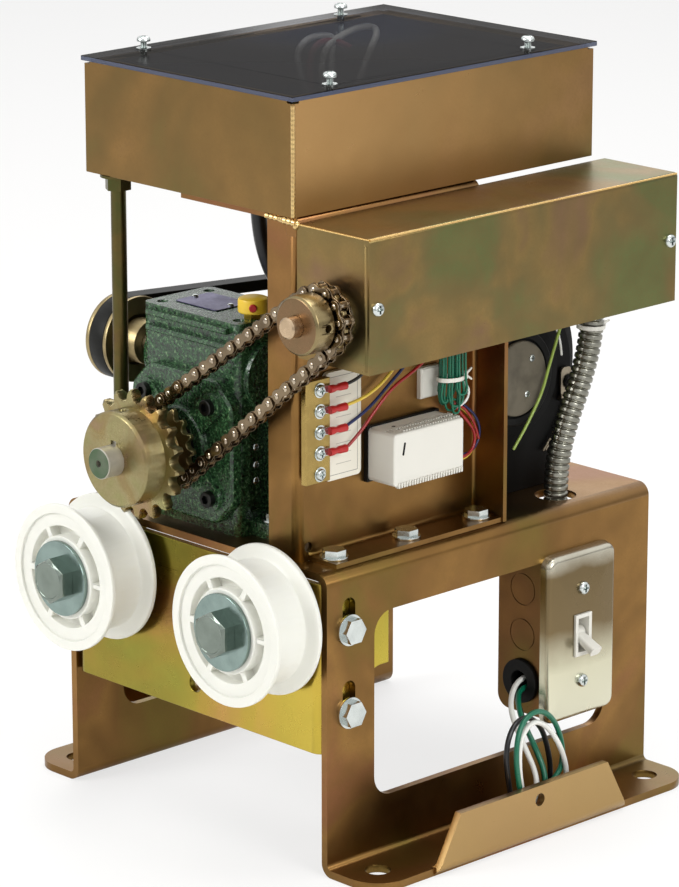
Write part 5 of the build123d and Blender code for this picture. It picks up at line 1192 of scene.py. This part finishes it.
def pale_floor():
    """Pale floor that shows white to the camera and keeps a soft shadow."""
    shape = bmesh.new()
    bmesh.ops.create_grid(shape, x_segments=4, y_segments=4, size=FLOOR_REACH)
    mesh = bpy.data.meshes.new("floor")
    shape.to_mesh(mesh)
    shape.free()
    floor = added("floor", mesh)
    floor.location.z = FLOOR_DROP
    finish = Finish("floor", {"Base Color": (0.86, 0.85, 0.83, 1), "Roughness": 0.6, "Specular IOR Level": 0.2})
    mesh.materials.append(finishes["floor"])
    seen, glossy, clear = finish.rays()
    share = (seen + clear + glossy * 0.5) * FLOOR_WHITE
    white = finish.node("Emission", {"Color": (1, 1, 1, 1), "Strength": 1})
    mixed = finish.node("MixShader", {0: share, 1: Wire(finish, finish.shader.outputs[0]), 2: white})
    finish.tree.links.new(mixed.socket, finish.tree.nodes["Material Output"].inputs["Surface"])


def white_room():
    """White world, which mirrors as a glow that rises from the horizon."""
    world = bpy.data.worlds.new("studio")
    scene.world = world
    world.use_nodes = True
    world.node_tree.nodes.clear()
    sky = Nodes(world.node_tree)
    seen, glossy, clear = sky.rays()
    way = sky.node("TexCoord", {}, "Generated")
    up = sky.node("SeparateXYZ", {"Vector": way}, "Z")
    glow = sky.node("MapRange", {"Value": up, **WORLD_GLOW}, clamp=True)
    direct = seen.maths("MAXIMUM", seen, clear)
    level = direct + (1 - direct) * (glossy * glow + (1 - glossy) * 0.5)
    back = sky.node("Background", {"Color": (1, 1, 1, 1), "Strength": level})
    end = sky.tree.nodes.new("ShaderNodeOutputWorld")
    sky.tree.links.new(back.socket, end.inputs["Surface"])


def square_lamps():
    """Square lamps that look at the middle of the machine."""
    for name, place, size, power in LAMPS:
        data = bpy.data.lights.new(name, "AREA")
        data.shape = "SQUARE"
        data.size = size
        data.energy = power
        lamp = added(name, data)
        lamp.location = Vector(place) * MM
        lamp.rotation_mode = "QUATERNION"
        lamp.rotation_quaternion = (AIM - Vector(place)).to_track_quat("-Z", "Y")


pale_floor()
white_room()
square_lamps()
scene.view_settings.view_transform = "Standard"


# CAD nodes that stay

dress("base_gold", 0.5, "base_frame", "tower_bracket")
dress("plate_gold", 0.5, "roller_plate")
dress("zinc", 0.3, "frame_bolts")
dress("washer_zinc", 0.3, "roller_washers")
dress("nylon", 0.8, "left_roller", "right_roller")
dress("box_gold", 1.1, "control_box")
dress("smoked", 0.3, "box_lid")
dress("circuit", 0, "control_board")
dress("cover_gold", 0.4, "limit_box", "limit_cover")
dress("post_olive", 0, "support_post")
dress("shaft_steel", 0, "output_shaft")
dress("nose_steel", 0, "limit_shaft")
dress("steel", 0, "limit_bearings", "worm_shaft", "motor_rotor", "gearbox_bearings")
dress("sprocket_gold", 0.3, "drive_sprocket", "limit_drive_sprocket")
dress("hub_gold", 0.3, "limit_sprocket")
dress("nut_plastic", 0.2, "front_limit_nut", "rear_limit_nut")
dress("cover_gold", 0, "nut_guide")
dress("rubber", 0.3, "limit_switches", "oil_seals", "grommet")
dress("green_iron", 0.8, "gearbox_housing", "gearbox_cover")
dress("bronze", 0, "worm_wheel")
dress("pulley_iron", 0.4, "gearbox_pulley", "motor_pulley")
dress("belt_rubber", 0.4, "drive_belt")
dress("motor_black", 0.6, "motor_shell")
dress("bell_black", 0.6, "motor_end_bells")
dress("motor_black", 0.3, "motor_cradle")
dress("switch_gold", 0.3, "switch_box")
dress("white_plastic", 0.3, "toggle_switch", "toggle_lever", "receiver_box")
